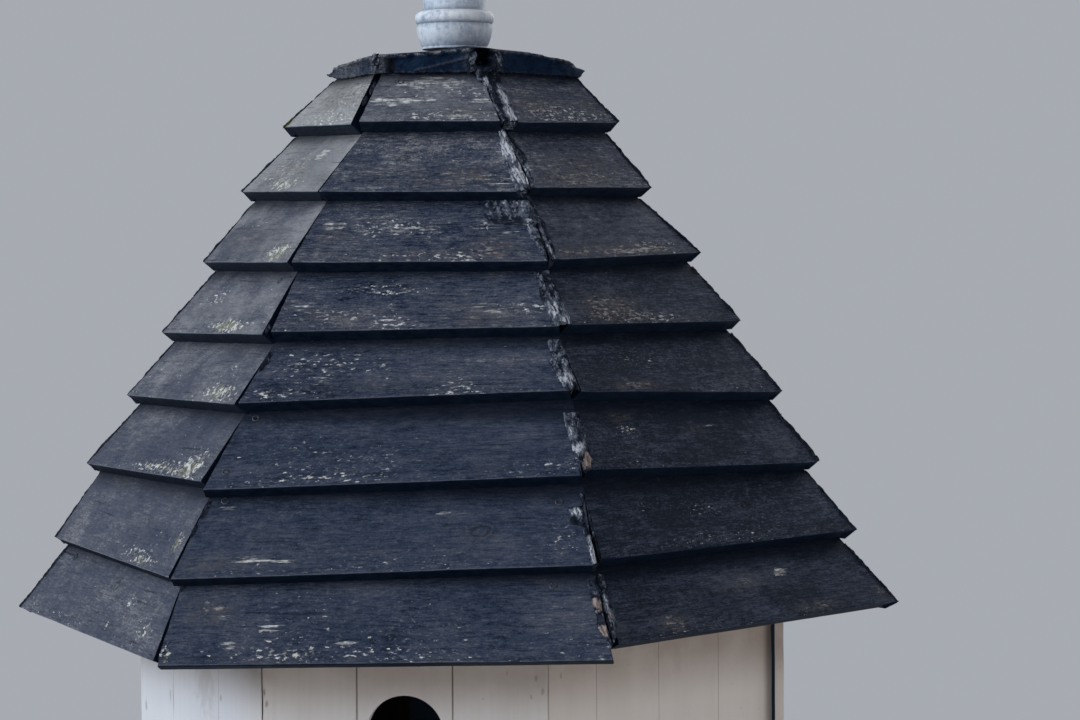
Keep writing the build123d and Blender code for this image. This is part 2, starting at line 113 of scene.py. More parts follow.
# Worn and grown places on the planks by kind: course, face, place along the plank as a share,
# height up it, reach along and up in mm, strength
PATCHES = {
    "fleck": [
        (1, 1, 0.62, 6, 44, 6, 1.5), (1, 1, 0.45, 36, 60, 14, 0.9), (1, 0, 0.7, 22, 40, 24, 1.5),
        (1, 0, 0.45, 8, 30, 7, 1), (1, 2, 0.42, 12, 44, 12, 1.6), (1, 2, 0.7, 7, 36, 6, 1.4),
        (2, 0, 0.4, 22, 40, 16, 1.2), (2, 1, 0.14, 46, 12, 8, 0.8), (2, 1, 0.55, 36, 30, 6, 0.5),
        (2, 2, 0.5, 12, 70, 10, 1.1), (3, 0, 0.8, 10, 30, 10, 1.3), (3, 0, 0.35, 40, 40, 10, 0.7),
        (3, 1, 0.42, 33, 36, 9, 1.4), (3, 1, 0.74, 36, 14, 6, 1.2), (3, 1, 0.65, 6, 14, 5, 1.6),
        (3, 1, 0.4, 5, 60, 5, 0.9), (3, 2, 0.6, 8, 60, 6, 1.2), (3, 2, 0.55, 34, 50, 12, 0.3),
        (4, 0, 0.34, 37, 26, 9, 1.3), (4, 0, 0.61, 7, 60, 7, 1.3), (4, 1, 0.4, 42, 32, 6, 1.4),
        (4, 1, 0.41, 5, 14, 5, 1.6), (4, 1, 0.84, 20, 26, 8, 1.3), (4, 1, 0.25, 16, 50, 10, 0.9),
        (4, 2, 0.3, 14, 34, 10, 1.1), (4, 2, 0.5, 7, 80, 6, 1.3), (5, 0, 0.8, 14, 40, 16, 1.1),
        (5, 0, 0.75, 36, 24, 8, 0.9), (5, 0, 0.4, 30, 40, 12, 0.4), (5, 1, 0.14, 8, 40, 6, 0.8),
        (5, 1, 0.64, 9, 9, 7, 1.2), (5, 1, 0.24, 36, 40, 14, 0.55), (5, 1, 0.43, 30, 16, 12, 0.6),
        (5, 2, 0.45, 38, 50, 14, 1), (6, 0, 0.84, 14, 34, 16, 1.1), (6, 0, 0.5, 7, 60, 6, 1.1),
        (6, 1, 0.45, 22, 60, 12, 0.5), (6, 1, 0.84, 10, 20, 8, 0.6), (6, 1, 0.93, 14, 12, 8, 0.7),
        (6, 1, 0.3, 6, 70, 5, 0.4), (6, 2, 0.25, 42, 14, 5, 1.2), (7, 0, 0.62, 9, 50, 7, 1),
        (7, 1, 0.9, 24, 16, 16, 0.8), (7, 1, 0.6, 14, 60, 8, 0.25), (7, 2, 0.24, 46, 18, 7, 1.2),
        (7, 2, 0.45, 36, 30, 10, 0.9), (7, 2, 0.4, 10, 60, 8, 0.8), (8, 0, 0.7, 36, 9, 9, 1.3),
        (8, 0, 0.3, 5, 60, 4, 0.8), (8, 1, 0.22, 8, 60, 7, 0.5), (8, 1, 0.5, 9, 50, 6, 0.4),
        (8, 2, 0.4, 6, 90, 5, 0.3), (2, 3, 0.5, 10, 60, 9, 0.5), (4, 3, 0.4, 9, 60, 8, 0.6),
        (7, 3, 0.3, 20, 50, 12, 0.5), (1, 4, 0.5, 12, 50, 9, 0.8), (5, 4, 0.6, 12, 80, 9, 0.7),
        (7, 4, 0.35, 9, 90, 8, 0.7), (8, 4, 0.3, 10, 70, 8, 0.7), (5, 5, 0.4, 10, 70, 9, 0.5),
        (8, 5, 0.4, 10, 80, 9, 0.6),
    ],
    "streak": [
        (1, 1, 0.59, 42, 20, 7, 2.7), (1, 1, 0.36, 41, 20, 7, 1.9), (1, 1, 0.36, 23, 32, 5, 2.3),
        (1, 1, 0.86, 22, 14, 4, 2.3), (1, 1, 0.68, 5, 24, 4, 1.6), (1, 1, 0.22, 20, 16, 5, 1.5),
        (1, 0, 0.78, 40, 20, 8, 2.7), (2, 0, 0.64, 38, 14, 8, 2), (2, 1, 0.7, 14, 46, 8, 0.9),
        (2, 1, 0.85, 7, 24, 4, 0.8), (2, 2, 0.3, 30, 40, 6, 0.7), (3, 1, 0.15, 37, 13, 6, 1.7),
        (3, 1, 0.42, 33, 30, 6, 1.2), (3, 1, 0.74, 36, 14, 6, 1.05), (3, 1, 0.86, 30, 20, 6, 1.2),
        (3, 2, 0.55, 5, 60, 4, 1.6), (4, 1, 0.11, 24, 10, 5, 1.4), (4, 1, 0.72, 20, 50, 10, 1.2),
        (5, 1, 0.24, 20, 12, 5, 1.6), (5, 1, 0.64, 41, 26, 5, 0.7), (5, 2, 0.3, 6, 24, 4, 1.3),
        (5, 2, 0.33, 38, 10, 4, 0.9), (6, 1, 0.6, 38, 40, 10, 0.6), (6, 2, 0.6, 41, 40, 4, 1.1),
        (7, 1, 0.2, 12, 60, 5, 1.3), (7, 1, 0.1, 52, 20, 4, 1.2), (7, 1, 0.29, 50, 16, 4, 1),
        (7, 1, 0.33, 26, 18, 6, 0.9), (7, 1, 0.62, 46, 10, 4, 1.4), (7, 2, 0.64, 32, 12, 10, 0.9),
        (8, 0, 0.62, 14, 5, 12, 1.3), (8, 1, 0.15, 34, 16, 14, 0.9), (8, 1, 0.16, 15, 10, 5, 1.2),
        (8, 1, 0.34, 16, 16, 4, 1.25), (8, 1, 0.42, 15, 12, 4, 1.3), (8, 1, 0.24, 28, 22, 5, 1.1),
        (8, 1, 0.58, 6, 26, 4, 0.9), (8, 1, 0.8, 24, 8, 5, 0.8), (8, 2, 0.65, 50, 16, 8, 1.5),
        (5, 4, 0.3, 30, 30, 4, 1.2),
    ],
    "lichen": [
        (2, 0, 0.48, 8, 44, 8, 1.2), (3, 0, 0.8, 10, 30, 12, 1.3), (4, 0, 0.62, 8, 60, 8, 1.2),
        (5, 0, 0.8, 10, 44, 10, 1.2), (6, 0, 0.6, 8, 60, 8, 1), (6, 0, 0.84, 14, 34, 16, 1.1),
        (7, 0, 0.92, 24, 12, 12, 1.1), (7, 0, 0.75, 6, 50, 5, 1.1), (8, 0, 0.85, 22, 26, 18, 0.8),
        (8, 1, 0.02, 9, 9, 10, 1), (8, 1, 0.3, 7, 20, 7, 0.8), (6, 3, 0.3, 12, 70, 9, 0.5),
        (3, 4, 0.3, 9, 50, 8, 0.6), (8, 4, 0.7, 12, 70, 12, 0.5), (2, 5, 0.5, 9, 50, 8, 0.6),
        (6, 5, 0.7, 9, 60, 8, 0.6),
    ],
    "bare": [
        (1, 1, 0.72, 9, 20, 8, 1.5), (1, 0, 0.45, 32, 40, 16, 1.8), (1, 0, 0.82, 34, 20, 16, 1.2),
        (1, 2, 0.36, 18, 32, 12, 1.5), (1, 2, 0.82, 18, 18, 12, 1.2), (2, 0, 0.45, 24, 60, 20, 1.3),
        (2, 1, 0.67, 13, 50, 11, 1.5), (2, 1, 0.2, 20, 24, 9, 0.8), (2, 2, 0.42, 8, 60, 8, 1.6),
        (2, 2, 0.55, 26, 60, 12, 1.1), (3, 0, 0.4, 26, 60, 16, 1.1), (3, 1, 0.16, 28, 16, 8, 1.2),
        (3, 1, 0.79, 14, 16, 14, 1.5), (3, 1, 0.5, 7, 80, 7, 0.9), (3, 2, 0.55, 7, 66, 6, 2),
        (3, 2, 0.2, 7, 40, 6, 1.2), (4, 1, 0.72, 10, 24, 10, 1.3), (4, 1, 0.2, 12, 40, 10, 1),
        (4, 2, 0.3, 20, 40, 14, 1.8), (4, 2, 0.5, 6, 80, 5, 1.1), (5, 1, 0.45, 10, 90, 10, 0.6),
        (5, 2, 0.3, 8, 28, 5, 2), (5, 2, 0.8, 10, 30, 8, 0.4), (6, 0, 0.94, 42, 6, 18, 1.2),
        (6, 1, 0.72, 8, 12, 6, 0.8), (6, 2, 0.24, 57, 12, 5, 2.2), (6, 2, 0.52, 38, 16, 5, 0.9),
        (6, 2, 0.88, 14, 24, 14, 0.6), (7, 0, 0.3, 60, 8, 6, 1), (7, 1, 0.1, 10, 36, 6, 0.8),
        (8, 1, 0.12, 42, 18, 10, 1.4), (8, 2, 0.22, 13, 15, 8, 2.4), (8, 2, 0.7, 8, 30, 6, 1.6),
        (8, 2, 0.5, 44, 50, 12, 1), (8, 2, 0.96, 14, 12, 12, 1.3), (8, 2, 0.05, 24, 8, 16, 0.9),
        (4, 3, 0.7, 8, 24, 5, 0.8), (7, 3, 0.7, 8, 60, 6, 0.8),
    ],
    "moss": [(1, 0, 0.03, 6, 10, 10, 0.8)],
    # Faded stain, partly a painted sheen of sky light on the planks
    "fade": [
        (1, 1, 0.5, 34, 60, 24, 0.4), (1, 0, 0.7, 44, 30, 12, 0.5), (4, 0, 0.5, 30, 80, 20, 0.25),
        (4, 1, 0.8, 16, 40, 12, 0.4), (5, 1, 0.68, 34, 60, 20, 0.55), (7, 2, 0.6, 34, 20, 8, 0.8),
        (8, 0, 0.6, 34, 40, 24, 0.25), (8, 2, 0.52, 46, 46, 16, 1.1),
    ],
}
# The kinds of wear, which are also layers of the planks' meshes, and the strongest that one can be; the fade layer
# is also painted sheen
KINDS = ("fleck", "streak", "lichen", "bare", "moss", "fade")
MOST_WEAR = 1.3
# How far the stain has weathered from black, blue and grey to pale on each side of the roof, from the top course
# down.
# The sides also carry painted light: the left ones paler and the front right ones darker, as light falls from the
# left.
WEATHER = [
    [3.42, 2.90, 2.30, 2.18, 2.04, 1.82, 1.86, 1.86],
    [2.06, 1.60, 1.38, 1.24, 1.18, 1.05, 1.08, 1.12],
    [1.42, 1.52, 1.14, 0.55, 0.30, 0.29, 0.20, 0.38],
    [1.30, 1.10, 0.90, 0.80, 0.70, 0.60, 0.60, 0.60],
    [1.90, 1.50, 1.30, 1.20, 1.10, 1.00, 1.00, 1.10],
    [2.40, 2.20, 2.00, 1.90, 1.80, 1.70, 1.60, 1.70],
]
# How strongly the grain and mottling show on the first three sides, from the top course down
CONTRAST = [
    [3.0, 1.9, 1.4, 1.1, 1.1, 1.0, 1.1, 1.2],
    [1.5, 2.1, 1.8, 1.5, 1.3, 1.05, 1.0, 1.1],
    [2.0, 2.2, 1.7, 1.8, 2.0, 1.6, 1.7, 1.5],
]
PLAIN_CONTRAST = 1.2
# Knots in the planks: course, face, share along, mm up, mm across
KNOTS = [
    (7, 1, 0.71, 32, 9), (8, 1, 0.51, 20, 6), (7, 2, 0.62, 36, 9), (6, 2, 0.54, 38, 5), (2, 1, 0.38, 33, 5),
    (8, 0, 0.55, 46, 8), (7, 4, 0.4, 40, 9), (5, 3, 0.5, 30, 7),
]

# Torn filler on the front right hip, course by course. A station has its share of the way down the course,
# the reach to the left and right of the hip in mm, the place of the crack and its width.
FRONT_RIGHT = [
    [(0, 5, 15, 0, 0), (0.5, 7, 13, -5, 0.6), (0.65, 9, 11, -8, 1.6), (1, 9, 10, -6.5, 2.4)],
    [(0, 4, 5, 2.7, 2.5), (0.5, 12, 16, 3, 1.5), (1, 12.5, 8, 2, 1.2)],
    [
        (0, 34, 10, 0, 0), (0.42, 34, 11, 0, 0), (0.45, 10, 12, 0, 0.8), (0.75, 8, 12, 0, 0.8),
        (1, 5, 6, -2, 1.2),
    ],
    [(0, 10.3, 4, 0, 0), (0.5, 12, 8, -6, 0.6), (1, 10.3, 9, 0, 0)],
    [(0, 10.3, 1, 0, 0), (0.5, 13.7, 1.5, 0, 0), (0.93, 9.4, 4, 0, 0), (1, 7, 3, -2, 3)],
    [
        (0, 13, 6, -11.5, 4), (0.3, 12, 8, -10.5, 2), (0.6, 10, 9, -9, 0.5), (0.66, 9.5, 9, -7.5, 2),
        (1, 8.6, 9, -3.5, 3),
    ],
    [
        (0, 4, 1, -1, 1), (0.2, 5, 1, -1.5, 1), (0.22, 17, 1.5, -1.5, 2.4), (0.45, 15, 2, -2, 2.6),
        (0.47, 7, 2.7, -1.7, 2.2), (1, 7, 4, 1, 2.6),
    ],
    [
        (0, 6, 12, 2.7, 0.5), (0.2, 8, 14, 2.7, 1.5), (0.25, 8, 11, 2.5, 2.8), (0.6, 11, 13.3, -1.7, 2.2),
        (0.88, 7, 8, -1.7, 2),
    ],
]
# Pale places in it: course, share up the course, mm beside the hip, reach across and up in mm, strength
PALE_SPOTS = [
    (1, 0.8, -3, 4, 8, 1), (1, 0.55, 8, 5, 9, 1), (1, 0.12, 5, 5, 9, 1.4), (2, 0.62, -4.5, 6, 7, 2.2),
    (2, 0.9, -2, 3, 8, 1.2), (2, 0.25, -1, 7, 12, 1.1), (2, 0.35, 11, 3, 6, 0.9), (3, 0.8, -18, 14, 9, 0.45),
    (3, 0.55, -6, 3, 10, 1.1), (3, 0.2, 3, 2, 12, 1), (3, 0.9, -5, 5, 5, 0.6), (4, 0.3, -4, 5, 8, 1.1),
    (4, 0.08, 2, 5, 6, 0.9), (5, 0.22, -5, 6, 8, 1.2), (5, 0.6, -9, 3, 10, 0.5), (6, 0.42, -3, 7, 5, 1.2),
    (6, 0.75, -7, 3, 8, 0.5), (7, 0.72, -10, 5, 5, 0.9), (7, 0.16, -4, 2.5, 14, 1.4), (8, 0.5, 6, 6, 18, 0.6),
]
# Places where it shows bare wood, in the same way
WOOD_SPOTS = [
    (6, 0.17, 3, 7, 12, 1.3), (8, 0.65, -5, 5, 8, 1.2), (8, 0.34, -7, 5, 6, 1.2), (8, 0.42, 5, 4, 12, 0.9),
]
# How worn the front right filler is, course by course
FRONT_RIGHT_WEAR = [0.84, 0.70, 0.54, 0.80, 0.70, 0.70, 0.56, 0.50]
# Filler that hangs over a butt: course, from and to beside the hip in mm, drop in mm
DRIPS = [(1, -4, 8, 8), (2, -12, -3, 6), (3, -2, 4, 8), (7, -5, 3, 10)]
# How deep the crack in it is, in mm
CRACK_DEEP = 6.0
# What sets the noise of one seed apart from that of the next
SEED_STEP = 17.31


# Small tools for meshes
def new_object(name, bm, smooth_angle, slot, node_names=(), look=None):
    """A piece of this mesh, flat or smooth below an angle, with its slot and the nodes that it replaces."""
    piece = bpy.data.objects.new(name, mesh_from(name, bm, smooth_angle))
    bpy.context.collection.objects.link(piece)
    piece.data.materials.append(looks[look or slot])
    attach(piece, "root")
    if node_names:
        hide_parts(*node_names)
    return piece


def new_mesh(*names):
    """An empty mesh and its vertex layers by name."""
    bm = bmesh.new()
    return bm, {name: bm.verts.layers.float.new(name) for name in names}


def add_point(bm, layers, place, **levels):
    """A new vertex with its levels in the layers of these names."""
    vert = bm.verts.new(place)
    for name, level in levels.items():
        vert[layers[name]] = level
    return vert


def add_tube(bm, rings):
    """Faces between neighbouring rings of points."""
    for lower, upper in zip(rings, rings[1:]):
        for i in range(len(lower)):
            j = (i + 1) % len(lower)
            bm.faces.new((lower[i], lower[j], upper[j], upper[i]))


def full_turn(count):
    """Evenly spaced angles of a turn, each with its cosine and sine."""
    angles = [2 * math.pi * step / count for step in range(count)]
    return [(angle, math.cos(angle), math.sin(angle)) for angle in angles]


def mesh_from(name, bm, smooth_angle=None):
    bmesh.ops.recalc_face_normals(bm, faces=bm.faces)
    mesh = bpy.data.meshes.new(name)
    bm.to_mesh(mesh)
    bm.free()
    if smooth_angle is not None:
        for polygon in mesh.polygons:
            polygon.use_smooth = True
        mesh.set_sharp_from_angle(angle=math.radians(smooth_angle))
    return mesh


def inside_box(point):
    """The nearest point that isn't outside the construction's box."""
    low, high = CAD_BOX
    margin = 0.1 * MM
    return Vector([min(max(c, a + margin), b - margin) for c, a, b in zip(point, low, high)])


def ripple(x, y, z, seed=0.0):
    """Smooth noise between about -1 and 1."""
    return noise.noise(Vector((x, y, z + seed * SEED_STEP)))


def smoothstep(low, high, value):
    t = min(1.0, max(0.0, (value - low) / (high - low)))
    return t * t * (3 - 2 * t)


def bell(x, y=0.0):
    return math.exp(-(x * x + y * y))


def clamped(level):
    return max(0.0, min(MOST_WEAR, level))


def wall_line(index):
    """A wall's two corners in plan, its direction and the way it faces."""
    a, b = Vector(BODY[index]), Vector(BODY[(index + 1) % 6])
    along = (b - a).normalized()
    return a, b, along, Vector((along.y, -along.x))


# Node material tools
class Value:
    """A node's output, which adds, takes away and multiplies like a number."""

    def __init__(self, graph, socket):
        self.graph = graph
        self.socket = socket

    def __add__(self, other):
        return self.graph.math("ADD", self, other)

    def __radd__(self, other):
        return self.graph.math("ADD", other, self)

    def __sub__(self, other):
        return self.graph.math("SUBTRACT", self, other)

    def __rsub__(self, other):
        return self.graph.math("SUBTRACT", other, self)

    def __mul__(self, other):
        return self.graph.math("MULTIPLY", self, other)

    def __rmul__(self, other):
        return self.graph.math("MULTIPLY", other, self)


class Graph:
    def __init__(self, name):
        self.material = bpy.data.materials.new(name)
        self.material.use_nodes = True
        self.tree = self.material.node_tree
        self.shader = self.tree.nodes["Principled BSDF"]

    def put(self, socket, value):
        if isinstance(value, Value):
            self.tree.links.new(value.socket, socket)
        elif socket.type == "RGBA":
            socket.default_value = (*value, 1)
        else:
            socket.default_value = value

    def node(self, kind, inputs={}, out=0, **settings):
        """The output of a new node with these settings, and with inputs by name or number."""
        made = self.tree.nodes.new("ShaderNode" + kind)
        for key, value in settings.items():
            setattr(made, key, value)
        for key, value in inputs.items():
            self.put(made.inputs[key], value)
        return Value(self, made.outputs[out])

    def math(self, operation, a, b=0.0, clamp=False):
        return self.node("Math", {0: a, 1: b}, operation=operation, use_clamp=clamp)

    def most(self, a, b):
        return self.math("MAXIMUM", a, b)

    def vector(self, x, y, z):
        return self.node("CombineXYZ", {"X": x, "Y": y, "Z": z})

    def parts(self, vector):
        made = self.node("SeparateXYZ", {0: vector}).socket.node
        return [Value(self, socket) for socket in made.outputs]

    def place(self):
        return self.node("TexCoord", out="Object")

    def map(self, name):
        """The parts of a map laid over the mesh."""
        return self.parts(self.node("UVMap", uv_map=name))

    def noise(self, vector, scale=1.0, detail=4.0, rough=0.55, distortion=0.0):
        texture = {"Vector": vector, "Scale": scale, "Detail": detail, "Roughness": rough, "Distortion": distortion}
        return self.node("TexNoise", texture)

    def stretched(self, parts, scales, **options):
        """Noise with a scale of its own on each axis."""
        return self.noise(self.vector(*[part * scale for part, scale in zip(parts, scales)]), **options)

    def distance(self, a, b):
        return self.node("VectorMath", {0: a, 1: b}, out="Value", operation="DISTANCE")

    def step(self, value, low, high):
        limits = {"Value": value, "From Min": low, "From Max": high}
        return self.node("MapRange", limits, interpolation_type="SMOOTHSTEP")

    def above(self, value, high, drop, amount, soft):
        """One where value passes a threshold that sinks as the amount grows."""
        low = high - amount * drop
        return self.step(value, low, low + soft)

    def mix(self, factor, a, b):
        return self.node("Mix", {0: factor, 6: a, 7: b}, out=2, data_type="RGBA")

    def ramp(self, value, stops):
        """Colour between evenly spaced stops for a value from 0 to the last stop's number."""
        color = self.node("ValToRGB", {0: value * (1 / (len(stops) - 1))})
        places = color.socket.node.color_ramp.elements
        while len(places) < len(stops):
            places.new(0.5)
        for number, stop in enumerate(stops):
            places[number].position = number / (len(stops) - 1)
            places[number].color = (*stop, 1)
        return color

    def attribute(self, name):
        return self.node("Attribute", out="Fac", attribute_name=name)

    def bump(self, height, strength, distance):
        return self.node("Bump", {"Height": height, "Strength": strength, "Distance": distance})

    def finish(self, color, roughness, normal=None, specular=0.5):
        self.put(self.shader.inputs["Base Color"], color)
        self.put(self.shader.inputs["Roughness"], roughness)
        self.shader.inputs["Specular IOR Level"].default_value = specular
        if normal is not None:
            self.put(self.shader.inputs["Normal"], normal)
        return self.material


# The stain from fresh to worn pale
STAIN = [
    (0.0017, 0.0062, 0.018), (0.0285, 0.0402, 0.07), (0.075, 0.082, 0.109), (0.235, 0.24, 0.255),
    (0.36, 0.36, 0.36),
]


def black_stain():
    """Worn blue-black stain over sawn planks: grain, flaking, lichen, bare and faded places, with painted light:
    sheen, shade under the courses and on the butts, a highlight on the arris, and paler or darker sides.
    """
    g = Graph("black_stain")
    along, up, _ = g.map("grain")
    lane = g.attribute("tone") * 37
    place = (along, up, lane)
    fine = g.stretched(place, (52, 430, 1), detail=6, rough=0.66)
    threads = g.stretched(place, (150, 900, 1), detail=3, rough=0.6)
    bands = g.stretched(place, (9, 85, 1), detail=4, distortion=0.4)
    mottle = g.stretched(place, (105, 130, 1), detail=6, rough=0.68)
    grit = g.stretched(place, (620, 850, 1), detail=2)
    cloud = g.stretched(place, (9, 20, 1), detail=6, rough=0.62)
    figure = fine * 0.46 + (bands * 0.24 + mottle * 0.3)
    uneven = (figure - 0.5) * 5.6 + (cloud - 0.5) * 1.2
    uneven = uneven + ((grit - 0.5) * 1.7 + (threads - 0.5) * 2.2)
    calm = g.step(g.attribute("weather"), 2.5, 1.3)
    drift = g.stretched(place, (16, 22, 1), detail=3, rough=0.5, distortion=0.6)
    contrast = g.attribute("contrast")
    # Weathering together with painted side light: paler on the left sides of the roof, darker on the front right
    weather = g.attribute("weather") + uneven * contrast * (0.3 + calm * 0.6)
    weather = weather + (drift - 0.5) * (2.2 - calm)
    # Fade: faded stain and painted sheen
    weather = weather + g.attribute("fade") * 0.9
    color = g.ramp(weather, STAIN)
    rusty = g.step(cloud, 0.5, 0.74) * g.step(fine, 0.44, 0.64)
    rusty = rusty * contrast * g.step(g.attribute("weather"), 0.1, 1.2)
    color = g.mix(g.math("MULTIPLY", rusty, 0.24, clamp=True), color, (0.085, 0.075, 0.076))

    fleck = g.attribute("fleck")
    dust = g.stretched(place, (260, 480, 1), detail=3, rough=0.6)
    dusty = (0.06 + fleck * 0.55) * (0.35 + calm * 0.65)
    color = g.mix(g.step(dust, 0.57, 0.7) * dusty, color, (0.17, 0.178, 0.195))
    scars = g.stretched(place, (17, 330, 1), detail=4, rough=0.6, distortion=0.3)
    color = g.mix(g.step(scars, 0.6, 0.68) * 0.5, color, (0.003, 0.005, 0.011))
    dots = g.stretched(place, (160, 420, 1), detail=3, rough=0.6)
    chips = g.stretched(place, (98, 330, 1), detail=5, rough=0.66)
    lines = g.stretched(place, (30, 400, 1), detail=6, rough=0.7)
    streak = g.attribute("streak")
    broken = 0.45 + g.step(chips, 0.42, 0.56) * 0.55
    streaks = g.above(lines, 0.8, 0.262, streak, 0.06) * broken
    flecks = g.most(g.above(dots, 0.762, 0.16, fleck, 0.06), g.above(chips, 0.848, 0.195, fleck, 0.06))
    crust = g.most(flecks, streaks)
    grey = g.noise(g.vector(along, up, lane), 110, 4)
    bright = grey + g.most(streak, fleck - 0.3) * 0.105
    fleck_tint = g.mix(g.step(bright, 0.43, 0.66), (0.115, 0.122, 0.14), (0.66, 0.655, 0.64))
    color = g.mix(crust * 0.9, color, fleck_tint)

    worn = dots * 0.6 + chips * 0.4
    bare = g.above(worn, 0.72, 0.17, g.attribute("bare"), 0.06)
    bare_tint = g.mix(g.step(fine, 0.4, 0.64), (0.088, 0.078, 0.073), (0.37, 0.33, 0.305))
    rubbed = g.math("MINIMUM", g.attribute("bare"), 1) * (0.08 + g.step(mottle, 0.4, 0.62) * 0.34)
    color = g.mix(rubbed, color, (0.078, 0.071, 0.069))
    color = g.mix(bare * 0.66, color, bare_tint)
    spots = g.stretched(place, (230, 280, 1), detail=4, rough=0.68)
    lichen = g.above(spots, 0.76, 0.27, g.attribute("lichen"), 0.05)
    lichen_tint = g.mix(g.step(grey, 0.4, 0.54), (0.215, 0.21, 0.135), (0.6, 0.6, 0.56))
    color = g.mix(lichen * 0.9, color, lichen_tint)
    moss = g.step(spots + g.attribute("moss") * 0.6, 0.82, 1)
    color = g.mix(moss, color, (0.07, 0.075, 0.018))

    knot = g.attribute("knot")
    rings = g.math("SINE", knot * 17 + (mottle + cloud) * 13)
    color = g.mix(g.step(knot, 0.1, 0.8) * (0.3 + rings * 0.26), color, (0.0018, 0.003, 0.007))
    color = g.mix(g.math("POWER", g.attribute("shade"), 1.4) * 0.82, color, (0.0012, 0.0034, 0.0095))
    # Pale line along the arris: wear on the edge and a painted highlight, stronger on the paler sides
    line = g.math("MULTIPLY", g.attribute("arris"), g.step(chips, 0.3, 0.6), clamp=True)
    color = g.mix(
        g.math("MULTIPLY", line, g.attribute("weather") * 0.55, clamp=True), color, (0.15, 0.165, 0.2)
    )
    # Painted shade: the butts and the plank ends face down and away from the light, so they are made near black
    edge = g.mix(g.step(mottle, 0.4, 0.6), (0.001, 0.005, 0.015), (0.0036, 0.01, 0.023))
    color = g.mix(g.attribute("butt") * 0.97, color, edge)
    rough = g.math("ADD", 0.56 + cloud * 0.16, g.most(crust, g.most(lichen, bare)) * 0.3, clamp=True)
    height = fine * 0.9 + mottle * 0.5 + (lichen * 0.5 + crust * 0.35)
    return g.finish(color, rough, g.bump(height, 0.6, 0.0011), 0.08)


def white_paint():
    """Brushed white paint on boards, grubby with age, with upright grain and hairline cracks, and with painted light
    and shade: shade under the eave and inside, blue sky light on the front left wall, warm light on the front right
    one.
    """
    g = Graph("white_paint")
    place = g.place()
    spot = g.parts(place)
    brush = g.stretched(spot, (150, 150, 4), detail=4)
    wide = g.stretched(spot, (24, 24, 2.6), detail=5)
    grime = g.noise(place, 14, 6, 0.62)
    color = g.mix(g.step(brush, 0.25, 0.78), (0.655, 0.63, 0.612), (0.715, 0.698, 0.688))
    color = g.mix(g.attribute("tone") * 0.3, color, (0.64, 0.605, 0.585))
    # Painted blue sky light on the front left wall, fading out towards its right corner
    color = g.mix(g.attribute("cool") * 0.5, color, (0.66, 0.7, 0.79))
    # Painted warm light on the front right wall and on the end of the proud board beside it
    color = g.mix(g.attribute("warm") * 0.75, color, (0.66, 0.605, 0.56))
    color = g.mix(g.step(wide, 0.48, 0.8) * 0.3, color, (0.52, 0.47, 0.44))
    # Painted shade under the eave: darker towards the top of the walls, broken up a little by the grime noise
    under_eave = g.step(spot[2], 1.262, 1.312) * (0.75 + g.step(grime, 0.36, 0.62) * 0.25)
    color = g.mix(under_eave * 0.8, color, (0.3, 0.235, 0.2))
    specks = g.step(g.noise(place, 300, 2, 0.5), 0.742, 0.775)
    color = g.mix(specks * 0.6, color, (0.2, 0.16, 0.13))
    hair = g.stretched(spot, (300, 300, 12), detail=2)
    crack = g.step(hair, 0.69, 0.74) * g.step(grime, 0.52, 0.62)
    color = g.mix(crack * 0.5, color, (0.22, 0.17, 0.14))
    joint = g.attribute("joint") * (0.55 + g.step(grime, 0.35, 0.65) * 0.45)
    color = g.mix(joint * 0.75, color, (0.17, 0.125, 0.1))
    flat = g.vector(spot[0], spot[1], spot[2] * 0.45)
    ragged = g.noise(place, 120, 4, 0.6) - 0.5
    for wall, beside, height, radius, strength in WALL_MARKS:
        corner, _, along, _ = wall_line(wall)
        middle = corner + along * beside * MM
        away = g.distance(flat, (middle.x, middle.y, height * MM * 0.45)) + ragged * (radius * MM * 2.2)
        color = g.mix(g.step(away, radius * MM, radius * MM * 0.15) * strength, color, (0.2, 0.145, 0.13))
    foot = (1 - g.step(spot[2], 0.02, 0.34)) * g.step(grime, 0.36, 0.66)
    color = g.mix(foot * 0.5, color, (0.26, 0.25, 0.17))
    # Painted shade: dark blue on the inside faces of the walls and in the notch of the proud board at the back right
    # corner
    color = g.mix(g.attribute("inner"), color, (0.045, 0.085, 0.14))
    height = brush + wide * 0.5 - crack
    return g.finish(color, 0.44 + grime * 0.2, g.bump(height, 0.22, 0.0006), 0.35)


def bare_timber():
    """Unpainted sawn softwood, made near black as painted shade for the inside of the body and under the roof."""
    g = Graph("bare_timber")
    place = g.place()
    grain = g.stretched(g.parts(place), (120, 120, 9), detail=6, distortion=0.6)
    cloud = g.noise(place, 22, 4)
    color = g.mix(g.step(grain, 0.34, 0.7), (0.02, 0.014, 0.01), (0.062, 0.043, 0.029))
    color = g.mix(g.step(cloud, 0.45, 0.75) * 0.5, color, (0.035, 0.03, 0.027))
    return g.finish(color, 0.8, g.bump(grain, 0.5, 0.001), 0.2)


def dark_timber():
    """Softwood stained dark, and made nearly black as painted shade under the eave and in the torn corner of the
    cap.
    """
    g = Graph("dark_timber")
    place = g.place()
    grain = g.stretched(g.parts(place), (60, 60, 160), detail=5, distortion=0.4)
    color = g.mix(g.step(grain, 0.36, 0.68), (0.0035, 0.0035, 0.0045), (0.016, 0.013, 0.012))
    return g.finish(color, 0.8, g.bump(grain, 0.4, 0.0008), 0.1)


